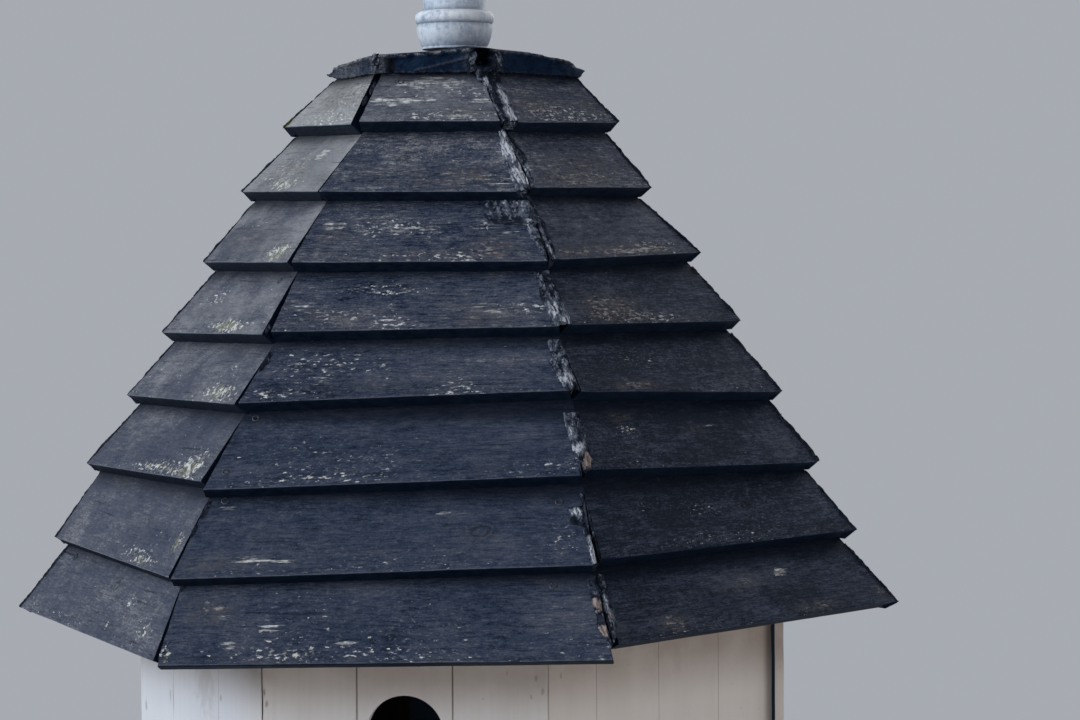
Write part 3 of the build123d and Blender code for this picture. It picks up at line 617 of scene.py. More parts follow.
def mastic():
    """Old hip filler: black skin worn through to pale blue-grey fibres, crumpled and torn."""
    g = Graph("mastic")
    place = g.place()
    across, down, _ = g.map("fold")
    fibres = g.stretched((across, down, 0), (620, 120, 1), detail=5, rough=0.66, distortion=0.5)
    lumps = g.noise(place, 230, 6, 0.68, 0.6)
    folds = g.noise(place, 95, 5, 0.62, 1.4)
    both = fibres * 0.3 + lumps * 0.42 + folds * 0.28
    pale = g.attribute("pale")
    dark = g.mix(g.step(folds, 0.4, 0.64), (0.004, 0.0075, 0.017), (0.026, 0.034, 0.056))
    worn = g.mix(g.step(lumps, 0.38, 0.62), (0.052, 0.064, 0.094), (0.165, 0.188, 0.238))
    color = g.mix(g.above(both, 0.64, 0.26, pale, 0.07), dark, worn)
    ridge = g.above(both * 0.55 + fibres * 0.45, 0.725, 0.21, pale, 0.045)
    color = g.mix(ridge * 0.9, color, (0.58, 0.6, 0.65))
    wood = g.above(both, 0.72, 0.36, g.attribute("wood"), 0.1)
    color = g.mix(wood * 0.9, color, g.mix(g.step(fibres, 0.4, 0.6), (0.2, 0.145, 0.135), (0.46, 0.38, 0.35)))
    moss = g.step(lumps + g.attribute("moss") * 0.5, 0.78, 0.95)
    color = g.mix(moss, color, g.mix(g.step(folds, 0.4, 0.6), (0.02, 0.026, 0.006), (0.085, 0.088, 0.02)))
    # Painted shade: the crack is painted near black
    color = g.mix(g.attribute("crack"), color, (0.0012, 0.0026, 0.006))
    return g.finish(color, 0.6 + lumps * 0.3, g.bump(fibres * 1.2 + (lumps + folds), 0.9, 0.002), 0.15)


def roof_felt():
    """Black felt dressed over the cap, wrinkled, with a worn pale rim, paler places that are partly wear and partly
    painted light, and painted shade in the tear and the pleat.
    """
    g = Graph("roof_felt")
    place = g.place()
    creases = g.noise(place, 62, 6, 0.62, 1.4)
    grit = g.noise(place, 900, 2)
    ragged = g.noise(place, 170, 5, 0.65)
    color = g.mix(g.step(creases, 0.36, 0.68), (0.0008, 0.0062, 0.022), (0.0048, 0.018, 0.046))
    # Paler places: partly wear, partly painted light on the lit left facet and painted highlights on the crumpled
    # corner and the swooping fold
    fade = g.attribute("fade") * (0.35 + g.step(creases * 0.5 + ragged * 0.5, 0.38, 0.6) * 0.65)
    color = g.mix(fade, color, g.mix(g.step(grit, 0.4, 0.62), (0.055, 0.063, 0.082), (0.155, 0.162, 0.178)))
    rim = g.attribute("rim") * g.step(ragged, 0.43, 0.58)
    color = g.mix(rim * 0.85, color, g.mix(g.step(grit, 0.4, 0.6), (0.095, 0.098, 0.1), (0.34, 0.335, 0.32)))
    # Painted shade: the tear and the pleat are painted black
    color = g.mix(g.attribute("crack"), color, (0.0008, 0.0022, 0.0055))
    height = creases + grit * 0.12 + ragged * 0.4
    return g.finish(color, 0.5 + creases * 0.25, g.bump(height, 0.8, 0.003), 0.07)


def grey_paint():
    """Pale blue-grey paint on the finial, mottled, chalky and streaked by rain, with painted highlights on the rims
    and painted shade in the hollows and on the side away from the light.
    """
    g = Graph("grey_paint")
    place = g.place()
    mottle = g.noise(place, 95, 6, 0.68)
    runs = g.stretched(g.parts(place), (230, 230, 24), detail=5)
    chalk = g.noise(place, 340, 4, 0.65)
    color = g.mix(g.step(mottle, 0.36, 0.66), (0.3, 0.37, 0.49), (0.6, 0.685, 0.8))
    color = g.mix(g.step(runs, 0.46, 0.66) * 0.55, color, (0.7, 0.74, 0.79))
    color = g.mix(g.step(chalk, 0.54, 0.68) * 0.6, color, (0.8, 0.83, 0.86))
    # Painted highlight on the rims
    rim = g.attribute("rim") * g.step(mottle, 0.3, 0.56)
    color = g.mix(rim * 0.8, color, (0.86, 0.88, 0.9))
    # Painted shade in the hollows and on the side turned from the light
    dirt = g.attribute("hollow") * g.step(mottle, 0.3, 0.56)
    color = g.mix(dirt * 0.7, color, (0.11, 0.125, 0.145))
    height = mottle + runs * 0.5
    return g.finish(color, 0.36 + mottle * 0.25, g.bump(height, 0.5, 0.0014), 0.45)


def screw_steel():
    """Dull screw cups under the stain, with painted shade in their hollows."""
    g = Graph("screw_steel")
    spots = g.noise(g.place(), 700, 3)
    color = g.mix(g.step(spots, 0.4, 0.62), (0.008, 0.013, 0.024), (0.045, 0.056, 0.08))
    # Painted shade in the hollow of the cup
    color = g.mix(g.attribute("hollow"), color, (0.002, 0.002, 0.004))
    return g.finish(color, 0.5, g.bump(spots, 0.3, 0.0004), 0.4)


MAKERS = (white_paint, bare_timber, black_stain, mastic, roof_felt, grey_paint, dark_timber, screw_steel)
looks = {maker.__name__: maker() for maker in MAKERS}
for part in frame["record"]["subparts"]:
    node = frame["nodes"][part["node"]]
    node.data.materials.clear()
    node.data.materials.append(looks[part["material_slot"]])


# Roof geometry
def roof_corners(scale):
    half = EAVE_FRONT / 2 * scale
    span = EAVE_HALF_SPAN * scale
    reach = EAVE_REACH * scale
    return [(-span, 0), (-half, -reach), (half, -reach), (span, 0), (half, reach), (-half, reach)]


def course_slopes():
    """Slope of each course's planks and the length of face they show."""
    result = []
    meet = Vector(UNDER_CAP)
    for spread, rise in zip(SPREAD, RISES):
        arris = Vector((spread * EAVE_REACH, rise))
        run = meet - arris
        slope = math.atan2(run.y, -run.x)
        result.append((slope, run.length))
        meet = arris - Vector((math.sin(slope), math.cos(slope))) * PLANK
    return result


SLOPES = course_slopes()
# How far each hip moves inwards along its planks for each unit that they run inwards, from the left hip round
HIP_SHIFT = [0.626, 0.554, 0.554, 0.626, 0.554, 0.554]
# From each hip to the ends of its planks, in mm
HIP_GAPS = [1.2, 0.5, 0.7, 1.2, 1.3, 1.3]
# How far the planks' faces lie inside the drawn ones
SET_BACK = 0.9 * MM
# How far a hip stands open at its top, from its middle to each plank, by course and hip, in mm
OPEN = {(0, 1): 4.5, (0, 2): 3.0}


def hip_lean(course, hip):
    """How far a hip runs sideways for each unit that it rises."""
    corners = roof_corners(1)
    slope = SLOPES[course][0]
    along = (Vector(corners[(hip + 1) % 6]) - Vector(corners[hip])).normalized()
    return (along.x * HIP_SHIFT[hip] - along.y) / math.tan(slope)


def corner_strays(course, hip):
    """Sideways strays of the planks before and after a hip once their corners have slid up or down it."""
    lean = hip_lean(course, hip)
    return [aside - lean * rise for aside, rise in (STRAY[course][hip - 1][2:], STRAY[course][hip][:2])]


def hip_stray(course, hip):
    """Sideways stray that both planks of a hip share at their lower corner, or at the cap for course -1."""
    if course < 0:
        return RING_STRAY[hip]
    return sum(corner_strays(course, hip)) / 2


class Face:
    """The plane of one plank: s along it from the left hip, v up it from the arris, h into the wood."""

    def __init__(self, course, index):
        corners = roof_corners(SPREAD[course])
        after = (index + 1) % 6
        self.a, b = [Vector((x, y, EAVE + RISES[course])) for x, y in (corners[index], corners[after])]
        self.number = (course + 1, index)
        self.course = course
        self.index = index
        self.slope, self.shown = SLOPES[course]
        self.along = (b - self.a).normalized()
        self.length = (b - self.a).length
        inward = Vector((-self.along.y, self.along.x, 0))
        self.up = inward * math.cos(self.slope) + Vector((0, 0, math.sin(self.slope)))
        self.out = self.along.cross(self.up)
        self.shared = [hip_stray(course - above, hip) for above in (0, 1) for hip in (index, after)]
        self.left_lift, self.right_lift = [rise * MM / self.up.z for rise in STRAY[course][index][1::2]]
        self.low_left = (corner_strays(course, index)[1] - self.shared[0]) * MM / self.along.x
        self.low_right = (corner_strays(course, after)[0] - self.shared[1]) * MM / self.along.x
        self.high_left = OPEN.get((course, index), 0) * MM
        self.high_right = -OPEN.get((course, after), 0) * MM

    def hips(self, v):
        """Where the two hips lie beside height v of a plank whose foot may be lifted."""
        fade = max(0.0, 1 - v / self.shown)
        left = HIP_SHIFT[self.index] * math.cos(self.slope) * (v + self.left_lift * fade)
        right = HIP_SHIFT[(self.index + 1) % 6] * math.cos(self.slope) * (v + self.right_lift * fade)
        return left, self.length - right

    def ends(self, v):
        """Where the plank begins and ends at height v."""
        left, right = self.hips(v)
        part = v / self.shown
        left += self.low_left + (self.high_left - self.low_left) * part + HIP_GAPS[self.index] * MM
        right += self.low_right + (self.high_right - self.low_right) * part - HIP_GAPS[(self.index + 1) % 6] * MM
        return left, right

    def point(self, s, v, h):
        part = v / self.shown
        left, right = self.hips(v)
        across = (s - left) / (right - left)
        up = v + (self.left_lift + (self.right_lift - self.left_lift) * across) * max(0.0, 1 - part)
        aside = [low + (high - low) * part for low, high in zip(self.shared[:2], self.shared[2:])]
        shift = Vector(((aside[0] + (aside[1] - aside[0]) * across) * MM, 0, 0))
        return inside_box(self.a + self.along * s + self.up * up - self.out * (h + SET_BACK) + shift)


# How far the butts of the lowest course are cut back under their arris, for each unit of depth
EAVE_UNDERCUT = 0.26
# Distance between the points of a plank along and up it, and how far it runs on under the next course
STEP_ALONG = 4.2 * MM
STEP_UP = 4.4 * MM
UNDER_NEXT = 14 * MM


def plank_ring(shown, undercut):
    """Section of a plank as (v, h) from the back of the butt round to the back of the top."""
    butt = [(0.8 * MM, PLANK), (0.0, PLANK - 0.8 * MM), (0.0, PLANK * 0.6), (0.0, PLANK * 0.3), (0.0, 0.7 * MM)]
    arris = [(0.2 * MM, 0.2 * MM), (0.8 * MM, 0.0)]
    ring = [(v + undercut * h, h) for v, h in butt + arris]
    top = shown + UNDER_NEXT
    v = 3 * MM
    while v < top - 3 * MM:
        ring.append((v, 0.0))
        v += STEP_UP
    return ring + [(top, 0.0), (top, PLANK), (top * 0.5, PLANK)]


def ragged_end(v, seed, start):
    """How far a plank's end wanders at height v."""
    return (0.7 * ripple(v * 150, seed, start) + 0.6 * ripple(v * 420, seed, start + 4)) * MM


def edge_lift(s, v, w, seed):
    """How far chips and a wavering cut lift a plank's lower edge."""
    chip = max(0.0, ripple(s * 55, seed, 21.0) - 0.52) * 4.0
    chip += 1.6 * bell(w * 30) * abs(ripple(seed, 3.0, 1.0))
    chip += 1.6 * bell((1 - w) * 30) * abs(ripple(seed, 9.0, 1.0))
    near = max(0.0, 1 - v / (10 * MM))
    return (0.35 * ripple(s * 14, seed, 4.0) + 0.12 * ripple(s * 110, seed, 8.0) + chip) * near * MM


def wear(face, s, v, seed, patches):
    """How strong each kind of wear is at a point on a plank's face, and how near a knot it is."""
    level = {kind: 0.0 for kind in KINDS}
    level["fleck"] = 0.3 + 0.4 * math.exp(-v / (14 * MM)) + 0.6 * ripple(s * 13, v * 16, seed, 6)
    level["fleck"] -= 0.25 * (face.index == 2)
    level["lichen"] = 0.08 * math.exp(-v / (12 * MM)) + 0.12 * ripple(s * 10, v * 20, seed, 7)
    level["streak"] = 0.18 * ripple(s * 8, v * 24, seed, 11)
    # The fade layer is faded stain and painted sheen
    level["fade"] = 0.25 * max(0.0, ripple(s * 7, v * 12, seed, 12))
    for kind, at, height, reach, reach_up, strength in patches:
        beside, over = (s - at * face.length) / (reach * MM), (v - height * MM) / (reach_up * MM)
        level[kind] += strength * bell(beside, over)
    worn = {kind: clamped(amount) for kind, amount in level.items()}
    worn["knot"] = 0.0
    for course, index, at, height, size in KNOTS:
        if (course, index) == face.number:
            near = bell((s - at * face.length) / (size * 1.5 * MM), (v - height * MM) / (size * MM))
            worn["knot"] = max(worn["knot"], near)
    return worn


def build_planks(course):
    bm, layers = new_mesh(*KINDS, "tone", "arris", "butt", "shade", "knot", "weather", "contrast")
    uv = bm.loops.layers.uv.new("grain")
    for index in range(6):
        face = Face(course, index)
        ring = plank_ring(face.shown, EAVE_UNDERCUT if course == 7 else 0.0)
        seed = course * 7 + index * 1.7 + 3.1
        tone = 0.5 + 0.5 * ripple(seed, seed * 0.7, 0.3)
        contrast = CONTRAST[index][course] if index < len(CONTRAST) else PLAIN_CONTRAST
        patches = [(kind, *row[2:]) for kind in KINDS for row in PATCHES[kind] if row[:2] == face.number]
        columns = max(28, int(face.length / STEP_ALONG))
        grid = []
        for column in range(columns + 1):
            w = column / columns
            row = []
            for v, h in ring:
                left, right = face.ends(v)
                left += ragged_end(v, seed, 1.0)
                right += ragged_end(v, seed, 9.0)
                s = left + (right - left) * w
                warp = 0.45 * ripple(s * 8, v * 9, seed) + 0.22 * ripple(s * 26, v * 30, seed, 2)
                warp += 0.1 * ripple(s * 60, v * 300, seed, 3)
                depth = h - warp * MM if h < 0.5 * PLANK else h
                row.append(add_point(
                    bm, layers, face.point(s, v + edge_lift(s, v, w, seed), depth),
                    tone=tone, weather=WEATHER[index][course], contrast=contrast,
                    arris=1.0 if v < 0.5 * MM and h < 1.0 * MM else 0.0,
                    butt=1.0 if v < 5 * MM and h > 0.5 * MM else 0.0,
                    shade=bell((face.shown - v) / (11 * MM)) if v < face.shown else 1.0,
                    **(wear(face, s, v, seed, patches) if h < 0.5 * MM else {}),
                ))
            grid.append(row)
        count = len(ring)
        for column in range(columns):
            for j in range(count):
                corners = [(column, j), (column + 1, j), (column + 1, (j + 1) % count), (column, (j + 1) % count)]
                quad = bm.faces.new([grid[c][r] for c, r in corners])
                for loop, (c, r) in zip(quad.loops, corners):
                    v, h = ring[r]
                    loop[uv].uv = (c / columns * face.length + seed, v - h + seed * 0.01)
        # The end faces take the butt layer, and with it the painted shade of the butts
        for row in (grid[0], grid[-1]):
            end = bm.faces.new([add_point(bm, layers, vert.co, butt=1.0) for vert in row])
            for loop, (v, h) in zip(end.loops, ring):
                loop[uv].uv = (h * 2 + seed, v * 0.4)
    name = "roof_course_" + str(course + 1)
    new_object(name + "_planks", bm, 38, "black_stain", [name])


for course in range(8):
    build_planks(course)

# Tilting fillets behind the eave planks: section as mm up the plank and mm behind it
FILLET_SECTION = [(8.0, 0.0), (26.0, 0.0), (34.0, 11.5), (19.5, 15.5)]
FILLET_PARTS = 8
bm, layers = new_mesh()
for index in range(6):
    face = Face(7, index)
    rings = []
    for column in range(FILLET_PARTS + 1):
        ring = []
        for v, behind in FILLET_SECTION:
            h = PLANK + behind * MM
            left, right = face.ends(v * MM)
            left += HIP_SHIFT[index] * h * math.sin(face.slope)
            right -= HIP_SHIFT[(index + 1) % 6] * h * math.sin(face.slope)
            ring.append(bm.verts.new(face.point(left + (right - left) * column / FILLET_PARTS, v * MM, h)))
        rings.append(ring)
    add_tube(bm, rings)
    bm.faces.new(rings[0])
    bm.faces.new(rings[-1])
# The fillets take the dark look, painted shade where they show below the eave planks
new_object("eave_fillets", bm, None, "bare_timber", ["tilting_fillets"], "dark_timber")


# Filler on the hips, a crumpled skin that bridges the joint of two planks
def hip_point(before, after, u, v, h):
    """Point u mm beside a hip: over the plank before it, the joint, or the plank after it."""
    right = before.ends(v)[1]
    left = after.ends(v)[0]
    b = before.point(right, v, h)
    a = after.point(left, v, h)
    half = (a - b).length / 2
    u = u * MM
    if u < -half:
        return before.point(right + u + half, v, h)
    if u > half:
        return after.point(left + u - half, v, h)
    return b.lerp(a, (u + half) / (2 * half) if half > 0 else 0.5)


def station_at(stations, t):
    for low, high in zip(stations, stations[1:]):
        if t <= high[0]:
            w = (t - low[0]) / (high[0] - low[0])
            return [a + (b - a) * w for a, b in zip(low[1:], high[1:])]
    return list(stations[-1][1:])


def filler_grid(bm, rows, across, down):
    """Faces between rows of points, with a map in metres of this size."""
    fold = bm.loops.layers.uv.get("fold") or bm.loops.layers.uv.new("fold")
    for j in range(len(rows) - 1):
        columns = len(rows[j]) - 1
        for i in range(columns):
            corners = [(i, j), (i + 1, j), (i + 1, j + 1), (i, j + 1)]
            quad = bm.faces.new([rows[r][c] for c, r in corners])
            for loop, (c, r) in zip(quad.loops, corners):
                loop[fold].uv = (across * c / columns, down * r / (len(rows) - 1))


def spot_level(spots, course, u, rise, shown):
    """How strong the spots of a course are u mm beside its hip and at a share of the way up."""
    level = 0.0
    for number, at, beside, reach, reach_up, strength in spots:
        if number == course + 1:
            level += strength * bell((u - beside) / reach, (rise - at) * shown / (reach_up * MM))
    return level


def lay_filler(bm, layers, before, after, stations, seed, level, crumple, ragged, finely):
    """Skin along one course of a hip; the hip that shows is laid more finely, with its spots."""
    shown, course = before.shown, before.course
    across = 36 if finely else 24
    count = max(20, int(shown / ((1.2 if finely else 1.9) * MM)))
    rows = []
    for j in range(count + 1):
        t = stations[-1][0] * j / count
        v = shown * (1 - t)
        left, right, crack, width = station_at(stations, t)
        left = max(0.8, left * (1 + 0.22 * ripple(v * 120, seed, 1.7)) + ragged * ripple(v * 380, seed, 4.2))
        right = max(0.8, right * (1 + 0.22 * ripple(v * 120, seed, 7.7)) + ragged * ripple(v * 380, seed, 9.2))
        crack += 0.8 * ripple(v * 260, seed, 2.5)
        row = []
        for i in range(across + 1):
            u = -left + (left + right) * i / across
            torn = ripple(u * 1.7, v * 520, seed, 8) if finely else 0.0
            rough = 1.3 * ripple(u * 0.4, v * 75, seed) + 0.8 * ripple(u * 0.95, v * 270, seed, 3) + 0.55 * torn
            margin = min(1.0, (u + left) / 1.6, (right - u) / 1.6)
            swell = max(0.1, 0.9 + rough * crumple) * margin - 0.5 * (1 - margin)
            split = 0.0
            if width > 0.3:
                split = 1 - smoothstep(width * 0.35, width * 0.35 + 0.9, abs(u - crack))
            swell = swell * (1 - split) - CRACK_DEEP * split
            pale = level * (0.75 + 0.7 * ripple(u * 0.2, v * 40, seed, 6))
            wood = 0.0
            if finely:
                pale += spot_level(PALE_SPOTS, course, u, 1 - t, shown)
                wood = spot_level(WOOD_SPOTS, course, u, 1 - t, shown)
            place = hip_point(before, after, u, v, -swell * MM)
            row.append(add_point(bm, layers, place, pale=clamped(pale), wood=clamped(wood), crack=split))
        rows.append(row)
    filler_grid(bm, rows, 20 * MM, shown)


def add_drip(bm, layers, before, after, seed, level, start, end, drop):
    """Filler that hangs over the butt of a hip's planks."""
    rows = []
    for j in range(7):
        row = []
        for i in range(9):
            u = start + (end - start) * i / 8 + 0.8 * ripple(j * 0.8, i * 0.5, seed)
            margin = min(1.0, i / 1.5, (8 - i) / 1.5)
            height = 1.2 * margin + 0.9 * ripple(u * 0.5, j * 0.6, seed) * margin
            depth = -1.0 + (drop + 1.0) * j / 6
            place = hip_point(before, after, u, -height * MM, depth * MM)
            row.append(add_point(bm, layers, place, pale=level * 0.8 * margin))
        rows.append(row)
    filler_grid(bm, rows, (end - start) * MM, drop * MM)


def add_splinters(bm, layers, before, after, seed, number):
    """Torn fibres that stand off a hip."""
    chance = random.Random(int(seed * 100))
    for _ in range(number):
        v = before.shown * chance.uniform(0.05, 0.95)
        u = chance.uniform(-3.5, 3.5)
        root = hip_point(before, after, u, v, 0.5 * MM)
        side = hip_point(before, after, u + 1.1, v - 1.5 * MM, 0.5 * MM)
        reach = chance.uniform(1.2, 3.2) * MM
        away = (before.out + after.out).normalized() * 0.8 - before.up * chance.uniform(0.2, 0.8)
        tip = inside_box(root + away.normalized() * reach)
        places = (root, side, tip, root - before.out * 0.6 * MM)
        a, b, c, back = [add_point(bm, layers, place, pale=chance.uniform(0.0, 0.4)) for place in places]
        for trio in ((a, b, c), (b, back, c), (back, a, c), (a, back, b)):
            bm.faces.new(trio)


# Plain filler of the other hips, as FRONT_RIGHT has it
SIDE_HIP = [(0, 2.5, 2.5, 0, 0), (0.5, 3.5, 3, 0, 0.4), (1, 3, 3, 0, 0)]
BACK_HIP = [(0, 6, 7, 1, 0.8), (0.4, 11, 9, -2, 1.5), (1, 9, 8, 1, 1.8)]
# By hip: node, stations, how worn, how crumpled, how ragged and how many splinters
HIPS = {
    0: ("hip_filler_left", SIDE_HIP, 0.20, 1.0, 1.1, 10),
    2: ("hip_filler_front_right", None, 0.75, 1.15, 1.0, 4),
    3: ("hip_filler_right", SIDE_HIP, 0.20, 1.2, 1.3, 14),
    4: ("hip_filler_back_right", BACK_HIP, 0.45, 1.0, 1.0, 6),
    5: ("hip_filler_back_left", BACK_HIP, 0.40, 1.0, 1.0, 6),
}
LAYERS = ("pale", "wood", "crack", "moss")
# The cushion of moss on the left hip
MOSS_PLACE = Vector((-0.142, 0.0, 1.748))
MOSS_REACH = 13 * MM
for hip, (node_name, stations, level, crumple, ragged, splinters) in HIPS.items():
    bm, layers = new_mesh(*LAYERS)
    in_front = hip == 2
    for course in range(8):
        seed = hip * 5.3 + course * 2.9
        before = Face(course, (hip - 1) % 6)
        after = Face(course, hip)
        if in_front:
            stations, level = FRONT_RIGHT[course], FRONT_RIGHT_WEAR[course]
        lay_filler(bm, layers, before, after, stations, seed, level, crumple, ragged, in_front)
        for number, *drip in DRIPS:
            if in_front and number == course + 1:
                add_drip(bm, layers, before, after, seed, level, *drip)
        add_splinters(bm, layers, before, after, seed + 1, splinters)
    if hip == 0:
        for vert in bm.verts:
            vert[layers["moss"]] = 1.2 * bell((vert.co - MOSS_PLACE).length / MOSS_REACH)
    new_object(node_name + "_skin", bm, 60, "mastic", [node_name])

# Loose slivers along the open front left hip: course, share up, mm onto the front plank, length and width in mm
SLIVERS = [
    (1, 0.72, 2, 14, 5), (1, 0.45, 0, 10, 4), (5, 0.66, 3, 20, 5), (7, 0.80, 2, 16, 5),
    (8, 0.88, 2, 12, 5), (4, 0.06, 0, 7, 5), (7, 0.55, 1, 10, 4),
]
bm, layers = new_mesh(*LAYERS)
for number, (course, share, beside, long, wide) in enumerate(SLIVERS):
    before = Face(course - 1, 0)
    after = Face(course - 1, 1)
    seed = number * 3.3
    rows = []
    for j in range(11):
        v = before.shown * share + (j / 10 - 0.5) * long * MM
        half = wide / 2 * math.sin(math.pi * (0.08 + 0.84 * j / 10)) * (1 + 0.5 * ripple(j * 0.7, seed, 1.0))
        row = []
        for i in range(6):
            w = i / 5
            u = beside + (w - 0.5) * 2 * half + 0.8 * ripple(j * 0.5, seed, 2.0)
            lift = 0.3 + 1.8 * math.sin(math.pi * w) + 0.9 * ripple(i * 0.6, j * 0.5, seed)
            if i in (0, 5) or j in (0, 10):
                lift = -0.4
            pale = 0.25 + 0.5 * w * abs(ripple(seed, j * 0.4, 1.0))
            row.append(add_point(bm, layers, hip_point(before, after, u, v, -lift * MM), pale=pale))
        rows.append(row)
    filler_grid(bm, rows, wide * MM, long * MM)
new_object("hip_slivers", bm, 60, "mastic")

# Screw cups near the ends of the planks: reach as a share of the radius, height in mm, and painted shade in the
# hollow
CUP_PROFILE = [(1.0, -0.3, 0), (0.95, 0.35, 0), (0.72, 0.55, 0), (0.55, 0.10, 1), (0.25, -0.1, 1)]
CUP_RADIUS = 3.2 * MM


def add_screw(bm, layers, face, s, v):
    centre = face.point(s, v, 0.1 * MM)
    basis = Matrix((face.along, face.up, face.out)).transposed()
    rings = []
    for reach, height, hollow in CUP_PROFILE:
        ring = []
        for _, cos, sin in full_turn(16):
            local = Vector((cos * reach * CUP_RADIUS, sin * reach * CUP_RADIUS, height * MM * 1.5))
            ring.append(add_point(bm, layers, inside_box(centre + basis @ local), hollow=hollow))
        rings.append(ring)
    add_tube(bm, rings)
    bm.faces.new(rings[-1])


# The screws that show: course, face, share along and mm below the course above
SCREWS = [
    (1, 1, 0.22, 8), (6, 1, 0.04, 4), (6, 1, 0.055, 50), (7, 1, 0.045, 7),
    (7, 1, 0.932, 9), (8, 1, 0.90, 9), (4, 0, 0.86, 10), (8, 0, 0.12, 12),
]
picker = random.Random(11)
for course in range(1, 9):
    for index in (3, 4, 5):
        for share in (0.1, 0.9):
            SCREWS.append((course, index, share + picker.uniform(-0.02, 0.02), 9 + picker.uniform(-2, 2)))
bm, layers = new_mesh("hollow")
for course, index, share, below in SCREWS:
    face = Face(course - 1, index)
    v = face.shown - below * MM
    left, right = face.ends(v)
    add_screw(bm, layers, face, left + (right - left) * share if below < 20 else face.length * share, v)
new_object("roof_screws", bm, 30, "black_stain", look="screw_steel")

# Cap: a board and the felt dressed over it, from the finial out to the rim, down the edge and under it
CAP_FOOT = EAVE + CAP_RISE
CAP_TOP = 25.0
CAP_CENTRE = Vector((0.006, 0.0))
CAP_CORNERS = [(-0.103, 0.0), (-0.047, -0.0925), (0.046, -0.093), (0.113, -0.002), (0.057, 0.0925), (-0.045, 0.0925)]
# Angles between the directions that soften a corner, in radians
SOFTENING = (-0.16, -0.08, 0.0, 0.08, 0.16)
# How far the cap's top sinks below the drawn one, by angle round the cap in degrees, in mm
CAP_DIPS = [
    (0, 7), (20, 5), (58, 3), (119, 6), (180, 8), (215, 5), (241, 3.5), (293, -0.5), (325, 1), (345, 4), (360, 7),
]


def straight_edge(angle):
    """Distance from the cap's centre to the six straight sides of its rim."""
    direction = Vector((math.cos(angle), math.sin(angle)))
    best = 1.0
    for index in range(6):
        a = Vector(CAP_CORNERS[index]) - CAP_CENTRE
        run = (Vector(CAP_CORNERS[(index + 1) % 6]) - CAP_CENTRE - a).normalized()
        normal = Vector((run.y, -run.x))
        facing = direction.dot(normal)
        if facing > 1e-6:
            best = min(best, a.dot(normal) / facing)
    return best


def cap_edge(angle):
    """Distance from the cap's centre to its rim, with softened corners."""
    soft = sum(straight_edge(angle + turn) for turn in SOFTENING) / len(SOFTENING)
    return min(straight_edge(angle), soft * 1.01)


def cap_point(angle, out, z):
    """Place at an angle, a distance from the cap's centre and a height in mm over its foot."""
    return (CAP_CENTRE.x + math.cos(angle) * out, math.sin(angle) * out, CAP_FOOT + z * MM)


def cap_dip(angle):
    degrees = math.degrees(angle) % 360
    for (low, a), (high, b) in zip(CAP_DIPS, CAP_DIPS[1:]):
        if degrees <= high:
            w = smoothstep(0, 1, (degrees - low) / (high - low))
            return a + (b - a) * w
    return CAP_DIPS[-1][1]


def around(angle, degrees, width):
    """Bell round the cap, one at some angle."""
    away = (math.degrees(angle) - degrees + 180) % 360 - 180
    return bell(away / width)


# Share of the way out, mm inside the rim, height over the board's foot, how pale the rim is
FELT_LINE = [
    (0.33, 0, 25.0, 0), (0.45, 0, 24.2, 0), (0.60, 0, 22.8, 0), (0.75, 0, 21.4, 0), (0.88, 0, 20.2, 0),
    (0.95, 0, 19.5, 0.2), (1, 1.0, 18.9, 0.7), (1, 0.2, 18.0, 1.0), (1, 0.3, 16.6, 0.25), (1, 1.4, 15.2, 0),
    (1, 2.2, 13.6, 0), (1, 2.6, 12.0, 0), (1, 2.8, 10.4, 0), (1, 2.8, 8.8, 0), (1, 2.6, 7.2, 0), (1, 2.4, 5.6, 0),
    (1, 2.0, 4.0, 0), (1, 1.6, 2.6, 0), (1, 1.3, 1.4, 0.1), (1, 1.6, 0.4, 0.1), (1, 4.0, 0.7, 0), (1, 7.0, 1.4, 0),
]
SKIRT_START = 6
# Two more lines between each two of the edge, for the wrinkles
felt_rows = FELT_LINE[:SKIRT_START + 1]
for low_row, high_row in zip(FELT_LINE[SKIRT_START:], FELT_LINE[SKIRT_START + 1:]):
    for part in (1 / 3, 2 / 3, 1):
        felt_rows.append(tuple(a + (b - a) * part for a, b in zip(low_row, high_row)))


